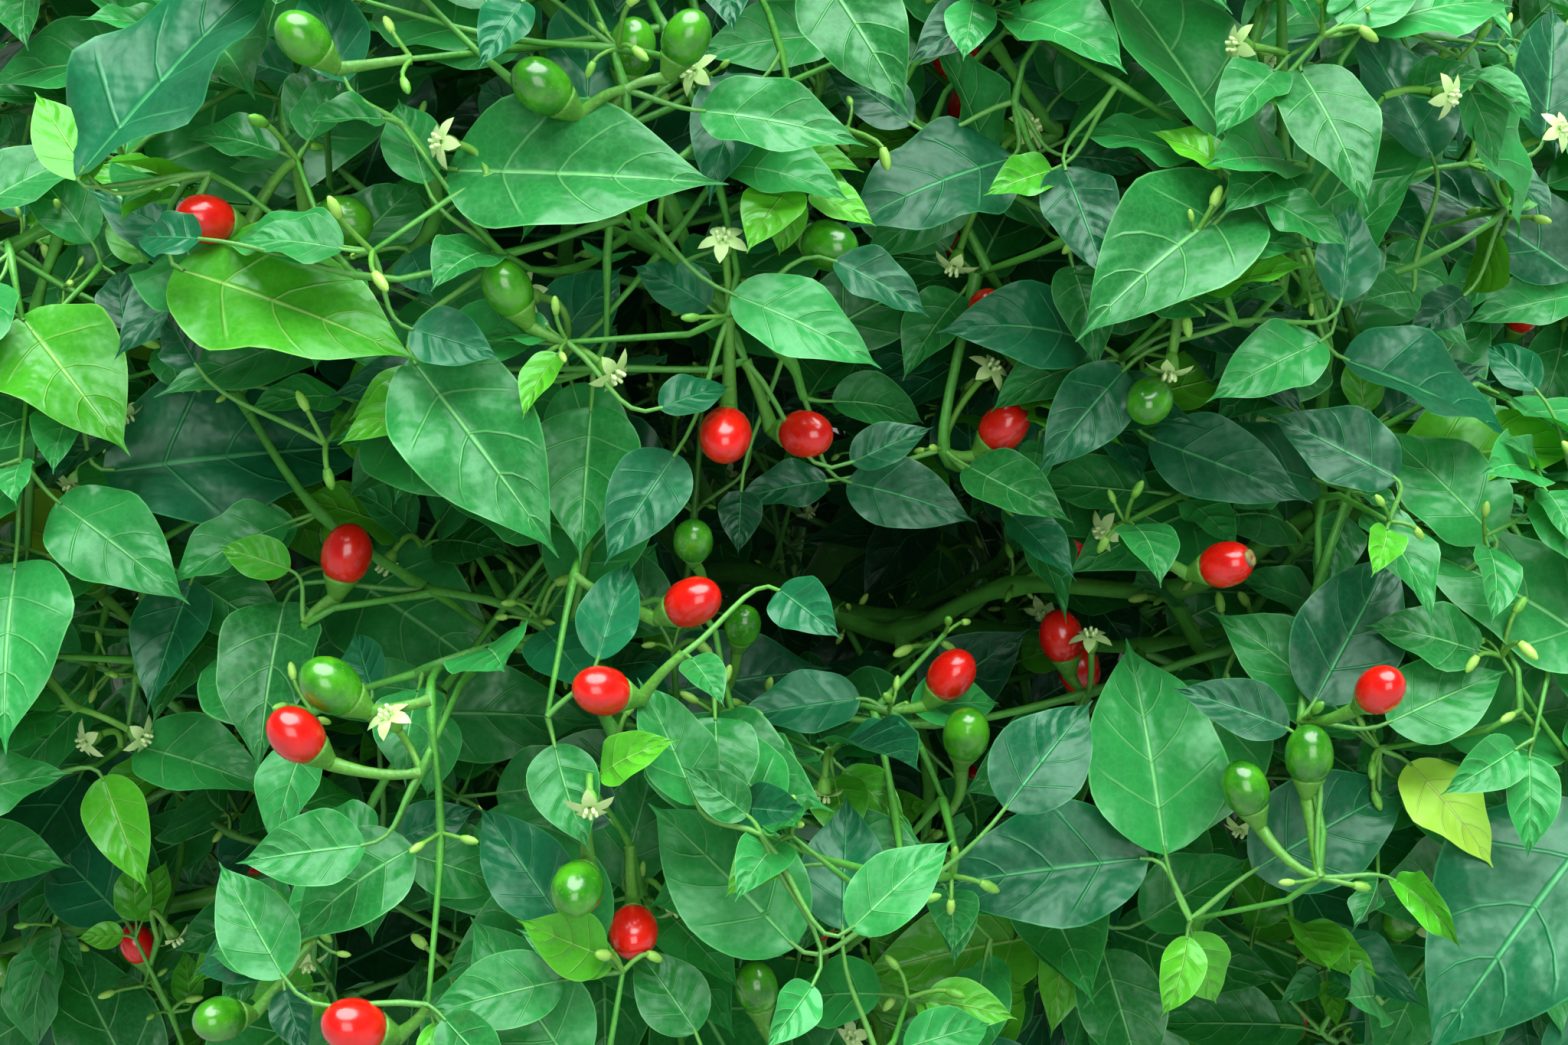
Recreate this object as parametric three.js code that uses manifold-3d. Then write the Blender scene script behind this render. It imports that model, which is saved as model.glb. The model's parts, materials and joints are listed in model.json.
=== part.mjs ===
// A small-fruited chilli pepper bush, rooted in the ground. A short woody trunk carries green boughs
// that fork and fork again, and each bough ends in a mass of leafy twigs with a few berries.
// Millimetres, +Z up, with the origin in the middle of the flat cut at ground level.
import * as THREE from "three";
import { mergeVertices } from "three/addons/utils/BufferGeometryUtils.js";
import Module from "manifold-3d";

const wasm = await Module();
wasm.setup();

// Driving sizes of the trunk, from the ground to its fork
const TRUNK_HEIGHT = 84;
const TRUNK_RADIUS = 8.5;
const FOOT_RADIUS = 14;
const TRUNK_LEAN = 7;
const FLARE_HEIGHT = 24;

// Clearances: between pieces that touch, between a limb and any foliage, and above the ground
const SEAT_GAP = 0.3;
const LIMB_CLEARANCE = 5;
const SPACE_MARGIN = 1.5;
const GROUND_CLEARANCE = 14;

// Rings of leafy masses: how many, how far out and how high their middles are, how far each reaches,
// and by how much the ring is turned
const RINGS = {
  heart: { count: 3, out: 86, height: 176, reach: 88, turn: 70 },
  skirt: { count: 7, out: 212, height: 138, reach: 102, turn: 14 },
  side: { count: 8, out: 230, height: 262, reach: 106, turn: -8 },
  shoulder: { count: 6, out: 138, height: 366, reach: 106, turn: 10 },
  top: { count: 1, out: 0, height: 428, reach: 104, turn: 0 },
};
const RING_SCATTER = 8;
const CROWN_HEART = new THREE.Vector3(0, 0, 160);

// Boughs: where each ring's boughs leave their parent, how thick they end, and how they bend
const PARENT_SHARE = 0.78;
const BOUGH_TIP_RADIUS = 2.4;
const MAIN_BOUGH_RADIUS = 6.4;
const DEPARTURE_ANGLE = 42;
const BOUGH_KINK = 2.2;
const BOUGH_STEPS = 4;
const BOUGH_SIDES = 5;
const ENTRY_SHARE = 0.66;
const ENTRY_STEP = 0.06;

// Twigs: how many joints each level has, how long and thick they are, and how they bend and part
const TWIG_JOINTS = [4, 3, 2];
const JOINT_LENGTH = 35;
const JOINT_SHRINK = 0.9;
const TWIG_RADIUS = [2.6, 1.2, 0.9];
const TWIG_NARROWS = 0.35;
const STEM_COLLAR = 3;
const FORK_BACK = 3.5;
const TWIG_BEND = 13;
const TWIG_STEER = 17;
const FORK_ANGLE = 58;
const TWIG_TURN = 104;
const TWIG_LIFT = 0.09;
const TWIG_TRIES = 7;
const TWIG_INSET = 27;
const SOLID_LEVELS = 2;

// Leaves: the few of the solids are larger than life, so that the crown is as full as the real one
const LEAVES_AT_JOINT = 2;
const LEAVES_AT_TIP = 3;
const LEAF_SWING = 36;
const LEAF_LENGTH = 110;
const LEAF_HALF_WIDTH = 0.33;
const LEAF_WIDEST = 0.38;
const LEAF_THICKNESS = 0.014;
const LEAF_NECK = 0.4;
const LEAF_FOLD = 0.07;
const LEAF_TRIES = 7;
const LEAF_SPREAD = 5;

// Berries on their flared stalks
const FRUIT_RADIUS = 6;
const FRUIT_LENGTH = 14;
const STALK_LENGTH = 20;
const STALK_RADIUS = 1.3;
const FRUIT_SHARE = 0.2;
const FRUIT_TRIES = 3;

// The gap in the crown that shows its inner boughs: a slanting column kept free of foliage
const GAP_TOP = new THREE.Vector3(20, -290, 400);
const GAP_FOOT = new THREE.Vector3(10, -52, 185);
const GAP_RADIUS = 29;

const SEED = 41;
const UP = new THREE.Vector3(0, 0, 1);
const rad = THREE.MathUtils.degToRad;
const vec = (x, y, z) => new THREE.Vector3(x, y, z);
const mix = (a, b, t) => a + (b - a) * t;

// A number from 0 to 1 that depends only on the words and numbers given, so each twig has its own
function draw(...keys) {
  let h = SEED;
  for (const letter of keys.join("/")) {
    h = Math.imul(h ^ letter.codePointAt(0), 16777619) >>> 0;
  }
  h ^= h >>> 16;
  h = Math.imul(h, 0x85ebca6b) >>> 0;
  h ^= h >>> 13;
  h = Math.imul(h, 0xc2b2ae35) >>> 0;
  h ^= h >>> 16;
  return (h >>> 0) / 4294967296;
}

// A unit vector square to v
function squareTo(v) {
  const other = Math.abs(v.z) < 0.8 ? UP : vec(1, 0, 0);
  return other.clone().cross(v).normalize();
}

const spun = (v, axis, degrees) => v.clone().applyAxisAngle(axis, rad(degrees));

function distanceToSegment(p, a, b) {
  const ab = b.clone().sub(a);
  const t = THREE.MathUtils.clamp(p.clone().sub(a).dot(ab) / ab.lengthSq(), 0, 1);
  return p.distanceTo(a.clone().addScaledVector(ab, t));
}

// The masses' middles, ring by ring, each a little off its even place
function placeMasses() {
  const masses = [];
  for (const [ring, r] of Object.entries(RINGS)) {
    for (let i = 0; i < r.count; i++) {
      const scatter = (axis) => (draw("scatter", ring, i, axis) - 0.5) * 2 * RING_SCATTER;
      const turn = rad(r.turn + (360 * i) / r.count);
      const centre = vec(
        r.out * Math.cos(turn) + scatter("x"),
        r.out * Math.sin(turn) + scatter("y"),
        r.height + scatter("z"),
      );
      const outward = centre.clone().sub(CROWN_HEART).normalize();
      masses.push({ ring, name: `${ring}_${i + 1}`, centre, outward, reach: r.reach });
    }
  }
  return masses;
}

// A mass keeps to its reach, to its side of the planes halfway to its neighbours, above the ground
// and out of the gap
function inSpace(mass, masses, p, inset = 0) {
  if (p.z < GROUND_CLEARANCE || p.distanceTo(mass.centre) > mass.reach - inset) return false;
  if (distanceToSegment(p, GAP_TOP, GAP_FOOT) < GAP_RADIUS) return false;
  return masses.every((other) => {
    if (other === mass) return true;
    const way = other.centre.clone().sub(mass.centre);
    const middle = mass.centre.clone().addScaledVector(way, 0.5);
    return p.clone().sub(middle).dot(way.normalize()) < -SPACE_MARGIN - inset / 3;
  });
}

function clearOfLimbs(points, limbs, gap) {
  return limbs.every((limb) =>
    points.every((p) =>
      limb.line.slice(1).every((b, i) => {
        const thick = Math.max(limb.radii[i], limb.radii[i + 1]);
        return distanceToSegment(p, limb.line[i], b) > thick + gap;
      }),
    ),
  );
}

// The first thing that a function grows when called with 0, 1, 2 and so on, or null
function steer(count, grow) {
  for (let attempt = 0; attempt < count; attempt++) {
    const grown = grow(attempt);
    if (grown) return grown;
  }
  return null;
}

const fits = (mass, masses, limbs, points, inset = 0) =>
  points.every((p) => inSpace(mass, masses, p, inset)) && clearOfLimbs(points, limbs, LIMB_CLEARANCE);

// The trunk leans a little and narrows quickly above its root flare
function growTrunk() {
  const line = [];
  const radii = [];
  for (const share of [0, 0.08, 0.2, 0.4, 0.7, 1]) {
    const z = TRUNK_HEIGHT * share;
    line.push(vec(TRUNK_LEAN * share * share, -TRUNK_LEAN * 0.4 * share * share, z));
    const flare = Math.exp((-3.2 * z) / FLARE_HEIGHT);
    radii.push(mix(TRUNK_RADIUS - share, FOOT_RADIUS, flare));
  }
  return { name: "trunk", line, radii };
}

function alongLimb(limb, share) {
  const at = share * (limb.line.length - 1);
  const i = Math.min(Math.floor(at), limb.line.length - 2);
  const a = limb.line[i];
  const b = limb.line[i + 1];
  return {
    point: a.clone().lerp(b, at - i),
    way: b.clone().sub(a).normalize(),
    radius: mix(limb.radii[i], limb.radii[i + 1], at - i),
  };
}

// Where a bough that comes from a point enters its mass: well inside the space that the mass keeps to
function entryOf(mass, masses, from) {
  const back = from.clone().sub(mass.centre).normalize();
  const at = (share) => mass.centre.clone().addScaledVector(back, share * mass.reach);
  let share = ENTRY_SHARE;
  while (share > 0 && !inSpace(mass, masses, at(share + ENTRY_STEP))) share -= ENTRY_STEP;
  return at(share);
}

// A bough leaves its parent at an angle, bends towards its mass and ends where it enters it
function growBough(mass, masses, parent, share, startRadius) {
  const start = alongLimb(parent, share);
  const goal = mass.centre.clone().sub(start.point);
  const end = entryOf(mass, masses, start.point);
  const run = end.distanceTo(start.point);
  const aside = goal.clone().addScaledVector(start.way, -goal.dot(start.way)).normalize();
  const ahead = share >= 1 ? 0.25 * DEPARTURE_ANGLE : DEPARTURE_ANGLE;
  const leave = start.way.clone().multiplyScalar(Math.cos(rad(ahead)));
  leave.addScaledVector(aside, Math.sin(rad(ahead)));
  const arrive = goal.clone().normalize().addScaledVector(UP, 0.25).normalize();
  const curve = new THREE.CubicBezierCurve3(
    start.point,
    start.point.clone().addScaledVector(leave, 0.36 * run),
    end.clone().addScaledVector(arrive, -0.3 * run),
    end,
  );
  const line = [];
  const radii = [];
  const kinkWay = squareTo(goal.clone().normalize());
  for (let i = 0; i <= BOUGH_STEPS; i++) {
    const t = i / BOUGH_STEPS;
    const inside = i > 0 && i < BOUGH_STEPS;
    const kink = inside ? BOUGH_KINK * (i % 2 ? 1 : -1) * (0.6 + draw("kink", mass.name, i)) : 0;
    line.push(curve.getPoint(t).addScaledVector(kinkWay, kink));
    radii.push(mix(startRadius, BOUGH_TIP_RADIUS, t ** 0.85));
  }
  const bough = { name: `bough_${mass.name}`, line, radii, parent, mass };
  mass.foot = end.clone();
  mass.heading = line[BOUGH_STEPS].clone().sub(line[BOUGH_STEPS - 1]).normalize();
  mass.foot.addScaledVector(mass.heading, SEAT_GAP);
  mass.bough = bough;
  return bough;
}

// Every second shoulder bough is a main bough of the trunk. The others leave the nearest main bough,
// the skirt's leave the side boughs, and the heart's leave the trunk.
function growBoughs(masses, trunk) {
  const of = (ring) => masses.filter((m) => m.ring === ring);
  const boughs = [];
  const add = (mass, parent, share, radius) => boughs.push(growBough(mass, masses, parent, share, radius));
  const mainShares = [1, 0.9, 0.8];
  of("shoulder").forEach((m, i) => {
    if (i % 2 === 0) add(m, trunk, mainShares[i / 2], MAIN_BOUGH_RADIUS);
  });
  const mains = [...boughs];
  const nearest = (mass, limbs) => {
    const bearing = (m) => Math.atan2(m.centre.y, m.centre.x);
    const apart = (l) => Math.abs(Math.sin((bearing(l.mass) - bearing(mass)) / 2));
    return limbs.reduce((best, l) => (apart(l) < apart(best) ? l : best));
  };
  const fork = (mass, limbs, share) => {
    const parent = nearest(mass, limbs);
    add(mass, parent, share, alongLimb(parent, share).radius * PARENT_SHARE);
  };
  of("shoulder").forEach((m, i) => {
    if (i % 2 === 1) fork(m, mains, 0.6);
  });
  fork(of("top")[0], mains.slice(0, 1), 0.78);
  const taken = new Map();
  const sides = of("side").map((m) => {
    const parent = nearest(m, mains);
    const before = taken.get(parent) ?? 0;
    taken.set(parent, before + 1);
    fork(m, [parent], 0.22 + 0.13 * before);
    return boughs.at(-1);
  });
  for (const m of of("skirt")) fork(m, sides, 0.42);
  of("heart").forEach((m, i) => {
    add(m, trunk, 0.62 + 0.08 * i, BOUGH_TIP_RADIUS + 1.2);
  });
  return boughs;
}

// The twigs of one mass: a stem from its foot, with a side twig at each joint, and so on for each
// level. Every draw is named by its twig, so a twig that is left out changes nothing else.
function growTwigs(mass, masses, limbs, levels) {
  const { foot, heading } = mass;
  const starts = [{ path: "0", level: 0, from: foot, way: heading, across: squareTo(heading) }];
  const twigs = [];
  for (const start of starts) {
    const twig = growTwig(mass, masses, limbs, start);
    if (twig.joints.length === 0) continue;
    twigs.push(twig);
    if (start.level + 1 === levels) continue;
    for (const { number, end, way, across } of twig.joints) {
      const from = end.clone().addScaledVector(way, -FORK_BACK);
      starts.push({ path: `${start.path}.${number}`, level: start.level + 1, from, way, across });
    }
  }
  return twigs;
}

// A twig grows joint by joint, and turns aside where it would leave its space or meet a limb
function growTwig(mass, masses, limbs, start) {
  const { path, level } = start;
  const joints = [];
  let { from, way, across } = start;
  for (let number = 1; number <= TWIG_JOINTS[level]; number++) {
    const others = level || number > 1 ? limbs : limbs.filter((l) => l !== mass.bough);
    const grown = steer(TWIG_TRIES, (attempt) => {
      const next = growJoint(mass, { path, level, number, from, way, across }, attempt);
      const points = [0.35, 0.7, 1].map((t) => from.clone().lerp(next.end, t));
      return fits(mass, masses, others, points, TWIG_INSET) && next;
    });
    if (!grown) break;
    joints.push(grown);
    ({ end: from, way, across } = grown);
  }
  const line = [start.from, ...joints.map((j) => j.end)];
  const radii = line.map((_, i) => TWIG_RADIUS[level] * (1 - (TWIG_NARROWS * i) / TWIG_JOINTS[level]));
  if (level === 0) {
    line.splice(1, 0, start.from.clone().addScaledVector(start.way, STEM_COLLAR));
    radii.splice(1, 0, radii[0]);
  }
  const frames = framesOf(line).slice(-joints.length);
  joints.forEach((joint, i) => (joint.frame = frames[i]));
  return { path, level, joints, line, radii };
}

// One joint of a twig: a side twig's first joint forks away, and the others bend a little to and fro
function growJoint(mass, { path, level, number, from, way, across }, attempt) {
  const roll = (what, ...more) => draw(what, mass.name, path, number, ...more);
  const length = JOINT_LENGTH * JOINT_SHRINK ** level * (0.8 + 0.4 * roll("length"));
  const fork = level > 0 && number === 1;
  const bend = (fork ? FORK_ANGLE : TWIG_BEND) * (0.75 + 0.5 * roll("angle", attempt));
  const angle = bend + TWIG_STEER * attempt;
  const aside = spun(across, way, 40 * (roll("aside", attempt) - 0.5) + 60 * attempt + (fork ? 180 : 0));
  const next = way.clone().multiplyScalar(Math.cos(rad(angle))).addScaledVector(aside, Math.sin(rad(angle)));
  next.addScaledVector(UP, TWIG_LIFT).addScaledVector(mass.outward, TWIG_LIFT).normalize();
  const square = across.clone().addScaledVector(next, -across.dot(next)).normalize();
  return {
    number,
    end: from.clone().addScaledVector(next, length),
    way: next,
    across: spun(square, next, TWIG_TURN),
  };
}

// A leaf stands on one of the three flats of its twig, its face to the light and its tip drooping
function growLeaf(mass, twig, joint, i, attempt) {
  const roll = (what) => draw(what, mass.name, twig.path, joint.number, i, attempt);
  const length = LEAF_LENGTH * (0.75 + 0.35 * roll("leaf length")) * (1 - 0.06 * attempt);
  const frame = joint.frame;
  const flat = 60 + 120 * (i + joint.number + attempt);
  const way = spun(frame.across, frame.way, flat + LEAF_SWING * (roll("leaf turn") - 0.5));
  way.addScaledVector(frame.way, 0.1 + 0.7 * roll("leaf lean"));
  way.addScaledVector(UP, -0.4 * roll("leaf droop")).normalize();
  const light = UP.clone().addScaledVector(mass.outward, 0.6);
  light.addScaledVector(frame.across, 1.3 * (roll("leaf tilt") - 0.5));
  const face = light.addScaledVector(way, -light.dot(way)).normalize();
  const root = joint.end.clone().addScaledVector(joint.way, -LEAF_SPREAD * (i + 1.6));
  return { root, way, face, length };
}

// Points over a leaf's blade, close enough together that no limb passes between them
function leafPoints({ root, way, face, length }) {
  const across = way.clone().cross(face);
  const points = [];
  for (let i = 1; i <= 9; i++) {
    const s = i / 9;
    const width = s < LEAF_WIDEST ? s / LEAF_WIDEST : (1 - s) / (1 - LEAF_WIDEST);
    for (const t of [-1, -0.5, 0, 0.5, 1]) {
      const p = root.clone().addScaledVector(way, s * length);
      p.addScaledVector(across, t * width * LEAF_HALF_WIDTH * length);
      points.push(p.addScaledVector(face, Math.abs(t) * width * LEAF_FOLD * length));
    }
  }
  return points;
}

// A berry stands up and out on its stalk, near a twig's tip
function growFruit(mass, twig, attempt) {
  const joint = twig.joints.at(-1);
  const turn = 360 * draw("fruit turn", mass.name, twig.path, attempt);
  const way = spun(joint.across, joint.way, turn).addScaledVector(UP, 0.7);
  way.addScaledVector(mass.outward, 0.5).normalize();
  return { root: joint.end.clone().addScaledVector(joint.way, -LEAF_SPREAD * (LEAVES_AT_TIP + 0.6)), way };
}

// The way and the two square directions at each point of a line, carried along it without twist
function framesOf(line) {
  let across = null;
  return line.map((_, i) => {
    const before = line[Math.max(i - 1, 0)];
    const after = line[Math.min(i + 1, line.length - 1)];
    const way = after.clone().sub(before).normalize();
    across = across ? across.clone().addScaledVector(way, -across.dot(way)).normalize() : squareTo(way);
    return { way, across, up: way.clone().cross(across) };
  });
}

// A closed tube through rings of points, with flat ends. bulge(angle, i) makes a ring lobed.
function tubeGeometry(line, radii, sides, bulge = () => 1) {
  const positions = [];
  const indices = [];
  framesOf(line).forEach(({ across, up }, i) => {
    for (let k = 0; k < sides; k++) {
      const angle = (2 * Math.PI * k) / sides;
      const r = radii[i] * bulge(angle, i);
      const q = line[i].clone().addScaledVector(across, r * Math.cos(angle));
      q.addScaledVector(up, r * Math.sin(angle));
      positions.push(q.x, q.y, q.z);
    }
  });
  for (let i = 0; i + 1 < line.length; i++) {
    for (let k = 0; k < sides; k++) {
      const [a, b] = [i * sides + k, i * sides + ((k + 1) % sides)];
      indices.push(a, b, b + sides, a, b + sides, a + sides);
    }
  }
  const last = (line.length - 1) * sides;
  for (let k = 1; k + 1 < sides; k++) {
    indices.push(0, k + 1, k, last, last + k, last + k + 1);
  }
  const geometry = new THREE.BufferGeometry();
  geometry.setAttribute("position", new THREE.Float32BufferAttribute(positions, 3));
  geometry.setIndex(indices);
  return geometry;
}

// A leaf of eight faces: a thin folded blade that starts in an upright edge inside its twig
function leafGeometry({ root, way, face, length }) {
  const across = way.clone().cross(face);
  const at = (s, side, up) =>
    root
      .clone()
      .addScaledVector(way, s * length)
      .addScaledVector(across, side * LEAF_HALF_WIDTH * length)
      .addScaledVector(face, up);
  const corners = [
    at(0, 0, LEAF_NECK),
    at(0, 0, -LEAF_NECK),
    at(LEAF_WIDEST, -1, LEAF_FOLD * length),
    at(LEAF_WIDEST, 1, LEAF_FOLD * length),
    at(1, 0, 0),
    at(LEAF_WIDEST, 0, LEAF_THICKNESS * length),
  ];
  const geometry = new THREE.BufferGeometry().setFromPoints(corners);
  geometry.setIndex([0, 5, 2, 0, 3, 5, 2, 5, 4, 3, 4, 5, 0, 2, 1, 0, 1, 3, 1, 2, 4, 1, 4, 3]);
  return geometry;
}

// A berry and its stalk in one: the stalk widens to a cup, and the berry swells out of it to a blunt tip
function fruitRings({ root, way }) {
  const rings = [{ at: root, radius: STALK_RADIUS }];
  for (const [share, wide] of [[-0.1, 0.36], [0.3, 0.96], [0.72, 0.92], [1, 0.36]]) {
    const at = root.clone().addScaledVector(way, STALK_LENGTH + share * FRUIT_LENGTH);
    rings.push({ at, radius: wide * FRUIT_RADIUS });
  }
  return rings;
}

const fruitGeometry = (fruit) => {
  const rings = fruitRings(fruit);
  return tubeGeometry(rings.map((r) => r.at), rings.map((r) => r.radius), 5);
};

// Points on a berry's widest rings, to hold it inside its mass's space
function fruitPoints(fruit) {
  const across = squareTo(fruit.way);
  return fruitRings(fruit).slice(1).flatMap(({ at, radius }) =>
    [0, 90, 180, 270].map((turn) => at.clone().addScaledVector(spun(across, fruit.way, turn), radius)),
  );
}

// From a three.js geometry to a solid and back
function solidOf(geometry) {
  const bare = new THREE.BufferGeometry();
  bare.setAttribute("position", geometry.getAttribute("position"));
  if (geometry.index) bare.setIndex(geometry.index);
  const merged = mergeVertices(bare);
  const vertProperties = merged.getAttribute("position").array;
  const triVerts = new Uint32Array(merged.index.array);
  const solid = new wasm.Manifold(new wasm.Mesh({ numProp: 3, vertProperties, triVerts }));
  if (solid.volume() >= 0) return solid;
  for (let i = 0; i < triVerts.length; i += 3) {
    [triVerts[i], triVerts[i + 1]] = [triVerts[i + 1], triVerts[i]];
  }
  return new wasm.Manifold(new wasm.Mesh({ numProp: 3, vertProperties, triVerts }));
}

function geometryOf(solid) {
  const { vertProperties, triVerts } = solid.getMesh();
  const geometry = new THREE.BufferGeometry();
  geometry.setAttribute("position", new THREE.BufferAttribute(vertProperties, 3));
  geometry.setIndex(new THREE.BufferAttribute(triVerts, 1));
  geometry.computeVertexNormals();
  return geometry;
}

const joined = (solids) => solids.reduce((whole, s) => whole.add(s));

// The largest single body of a solid, without loose scraps
function largestBody(solid) {
  return solid.decompose().reduce((best, s) => (s.volume() > best.volume() ? s : best));
}

const limbSolid = (limb, grow = 0) =>
  solidOf(tubeGeometry(limb.line, limb.radii.map((r) => r + grow), limb.sides ?? BOUGH_SIDES, limb.bulge));

// A mass is fused from its twigs, and from the leaves and berries that meet nothing but their own twig
function massSolid(mass, masses, limbs) {
  const twigs = growTwigs(mass, masses, limbs, SOLID_LEVELS);
  const twigSolids = twigs.map((twig) => solidOf(tubeGeometry(twig.line, twig.radii, 3)));
  const grown = [];
  const offer = (points, solid, own) => {
    if (!fits(mass, masses, limbs, points)) return null;
    const others = [...twigSolids.filter((_, i) => i !== own), ...grown];
    if (others.some((other) => !other.intersect(solid).isEmpty())) return null;
    grown.push(solid);
    return solid;
  };
  twigs.forEach((twig, own) => {
    if (draw("fruit", mass.name, twig.path) > FRUIT_SHARE) return;
    steer(FRUIT_TRIES, (attempt) => {
      const fruit = growFruit(mass, twig, attempt);
      return offer(fruitPoints(fruit), solidOf(fruitGeometry(fruit)), own);
    });
  });
  twigs.forEach((twig, own) => {
    for (const joint of twig.joints) {
      const leaves = joint === twig.joints.at(-1) ? LEAVES_AT_TIP : LEAVES_AT_JOINT;
      for (let i = 0; i < leaves; i++) {
        steer(LEAF_TRIES, (attempt) => {
          const leaf = growLeaf(mass, twig, joint, i, attempt);
          return offer(leafPoints(leaf), solidOf(leafGeometry(leaf)), own);
        });
      }
    }
  });
  return largestBody(joined([...twigSolids, ...grown]));
}

const MATERIALS = {
  bark: new THREE.MeshStandardMaterial({ color: 0x7a6a45, roughness: 0.85 }),
  stem: new THREE.MeshStandardMaterial({ color: 0x4d8a2c, roughness: 0.55 }),
  leaf: new THREE.MeshStandardMaterial({ color: 0x1f7a34, roughness: 0.45 }),
};

const plant = new THREE.Group();

function addNode(name, solid, material) {
  const mesh = new THREE.Mesh(geometryOf(solid), material);
  mesh.name = name;
  plant.add(mesh);
}

const masses = placeMasses();
const trunk = growTrunk();
trunk.sides = 10;
trunk.bulge = (angle, i) => 1 + 0.16 * Math.cos(5 * angle) * Math.max(0, 1 - i / 3);
const boughs = growBoughs(masses, trunk);
const limbs = [trunk, ...boughs];

limbs.forEach((limb, i) => {
  let solid = limbSolid(limb);
  for (const earlier of limbs.slice(0, i).map((l) => limbSolid(l, SEAT_GAP))) {
    if (!earlier.intersect(solid).isEmpty()) solid = solid.subtract(earlier);
  }
  addNode(limb.name, largestBody(solid), limb === trunk ? MATERIALS.bark : MATERIALS.stem);
});
for (const mass of masses) {
  addNode(`foliage_${mass.name}`, massSolid(mass, masses, limbs), MATERIALS.leaf);
}

export default plant;
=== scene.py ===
import json
import math

import bpy
import numpy as np
from mathutils.bvhtree import BVHTree
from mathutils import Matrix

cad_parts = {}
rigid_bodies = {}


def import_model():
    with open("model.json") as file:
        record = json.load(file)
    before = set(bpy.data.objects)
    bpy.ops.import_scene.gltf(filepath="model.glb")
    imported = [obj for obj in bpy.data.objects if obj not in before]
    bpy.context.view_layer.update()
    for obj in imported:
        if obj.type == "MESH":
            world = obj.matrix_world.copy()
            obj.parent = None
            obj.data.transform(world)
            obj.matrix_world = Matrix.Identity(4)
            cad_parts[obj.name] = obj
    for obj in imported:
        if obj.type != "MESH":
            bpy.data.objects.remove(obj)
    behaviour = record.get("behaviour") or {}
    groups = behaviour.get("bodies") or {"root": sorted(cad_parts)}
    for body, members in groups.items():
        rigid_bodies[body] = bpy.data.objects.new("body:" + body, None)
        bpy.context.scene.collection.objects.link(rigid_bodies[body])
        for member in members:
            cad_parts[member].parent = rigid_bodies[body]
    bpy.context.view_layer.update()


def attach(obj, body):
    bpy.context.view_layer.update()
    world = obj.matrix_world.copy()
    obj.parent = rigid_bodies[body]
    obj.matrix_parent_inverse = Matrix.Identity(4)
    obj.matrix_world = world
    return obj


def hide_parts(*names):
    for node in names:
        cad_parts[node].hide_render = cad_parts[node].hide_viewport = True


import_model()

MM = 0.001
UP = np.array([0.0, 0.0, 1.0])

# Sizes that the source drives the limbs and the spaces by
TRUNK_HEIGHT = 84
TRUNK_RADIUS = 8.5
FOOT_RADIUS = 14
TRUNK_LEAN = 7
FLARE_HEIGHT = 24
TRUNK_SHARES = (0, 0.08, 0.2, 0.4, 0.7, 1)
SEAT_GAP = 0.3
LIMB_CLEARANCE = 5
SPACE_MARGIN = 1.5
GROUND_CLEARANCE = 14
RINGS = {
    "heart": dict(count=3, out=86, height=176, reach=88, turn=70),
    "skirt": dict(count=7, out=212, height=138, reach=102, turn=14),
    "side": dict(count=8, out=230, height=262, reach=106, turn=-8),
    "shoulder": dict(count=6, out=138, height=366, reach=106, turn=10),
    "top": dict(count=1, out=0, height=428, reach=104, turn=0),
}
RING_SCATTER = 8
CROWN_HEART = np.array([0.0, 0.0, 160.0])
PARENT_SHARE = 0.78
BOUGH_TIP_RADIUS = 2.4
MAIN_BOUGH_RADIUS = 6.4
DEPARTURE_ANGLE = 42
BOUGH_KINK = 2.2
BOUGH_STEPS = 4
ENTRY_SHARE = 0.66
ENTRY_STEP = 0.06
GAP_TOP = np.array([20.0, -290.0, 400.0])
GAP_FOOT = np.array([10.0, -52.0, 185.0])
GAP_RADIUS = 29

# The trunk's flare, where the boughs fork, and how they leave, bend and taper
FLARE_FALL = 3.2
SIDE_LEAN = 0.4
MAIN_SHARES = (1, 0.9, 0.8)
SHOULDER_FORK = 0.6
TOP_FORK = 0.78
SIDE_FORK = 0.22
SIDE_FORK_STEP = 0.13
SKIRT_FORK = 0.42
HEART_FORK = 0.62
HEART_FORK_STEP = 0.08
HEART_EXTRA_RADIUS = 1.2
STRAIGHT_SHARE = 0.25
BOUGH_LIFT = 0.25
LEAVE_PULL = 0.36
ARRIVE_PULL = 0.3
LEAST_KINK = 0.6
BOUGH_TAPER = 0.85

# Sizes that the source drives the twigs by, with the finer twigs' own ones last in each row
TWIG_JOINTS = (4, 3, 3)
JOINT_LENGTH = 35
JOINT_SHRINK = 0.9
TWIG_RADIUS = (2.3, 1.5, 1.1)
TWIG_NARROWS = 0.35
FORK_BACK = 3.5
TWIG_BEND = 13
TWIG_STEER = 17
FORK_ANGLE = 58
TWIG_TURN = 104
TWIG_LIFT = 0.09
TWIG_TRIES = 7
TWIG_INSET = 27
TWIG_LEVELS = 3
FINE_INSET = 12
WALL_INSET = 3

# How much a twig's joints differ, how new attempts bend away, and where each is tested
LEAST_LENGTH = 0.8
LENGTH_SPREAD = 0.4
LEAST_ANGLE = 0.75
ANGLE_SPREAD = 0.5
ASIDE_SPREAD = 40
ASIDE_STEP = 60
TESTED_SHARES = (0.35, 0.7, 1)

SEED = 41
HASH_PRIME = 16777619
HASH_STEPS = ((16, 0x85EBCA6B), (13, 0xC2B2AE35))
LAST_WORD = 0xFFFFFFFF
STEEP = 0.8


# Small sums

def unit(v):
    """v at a length of 1"""
    return v / np.linalg.norm(v)


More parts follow.
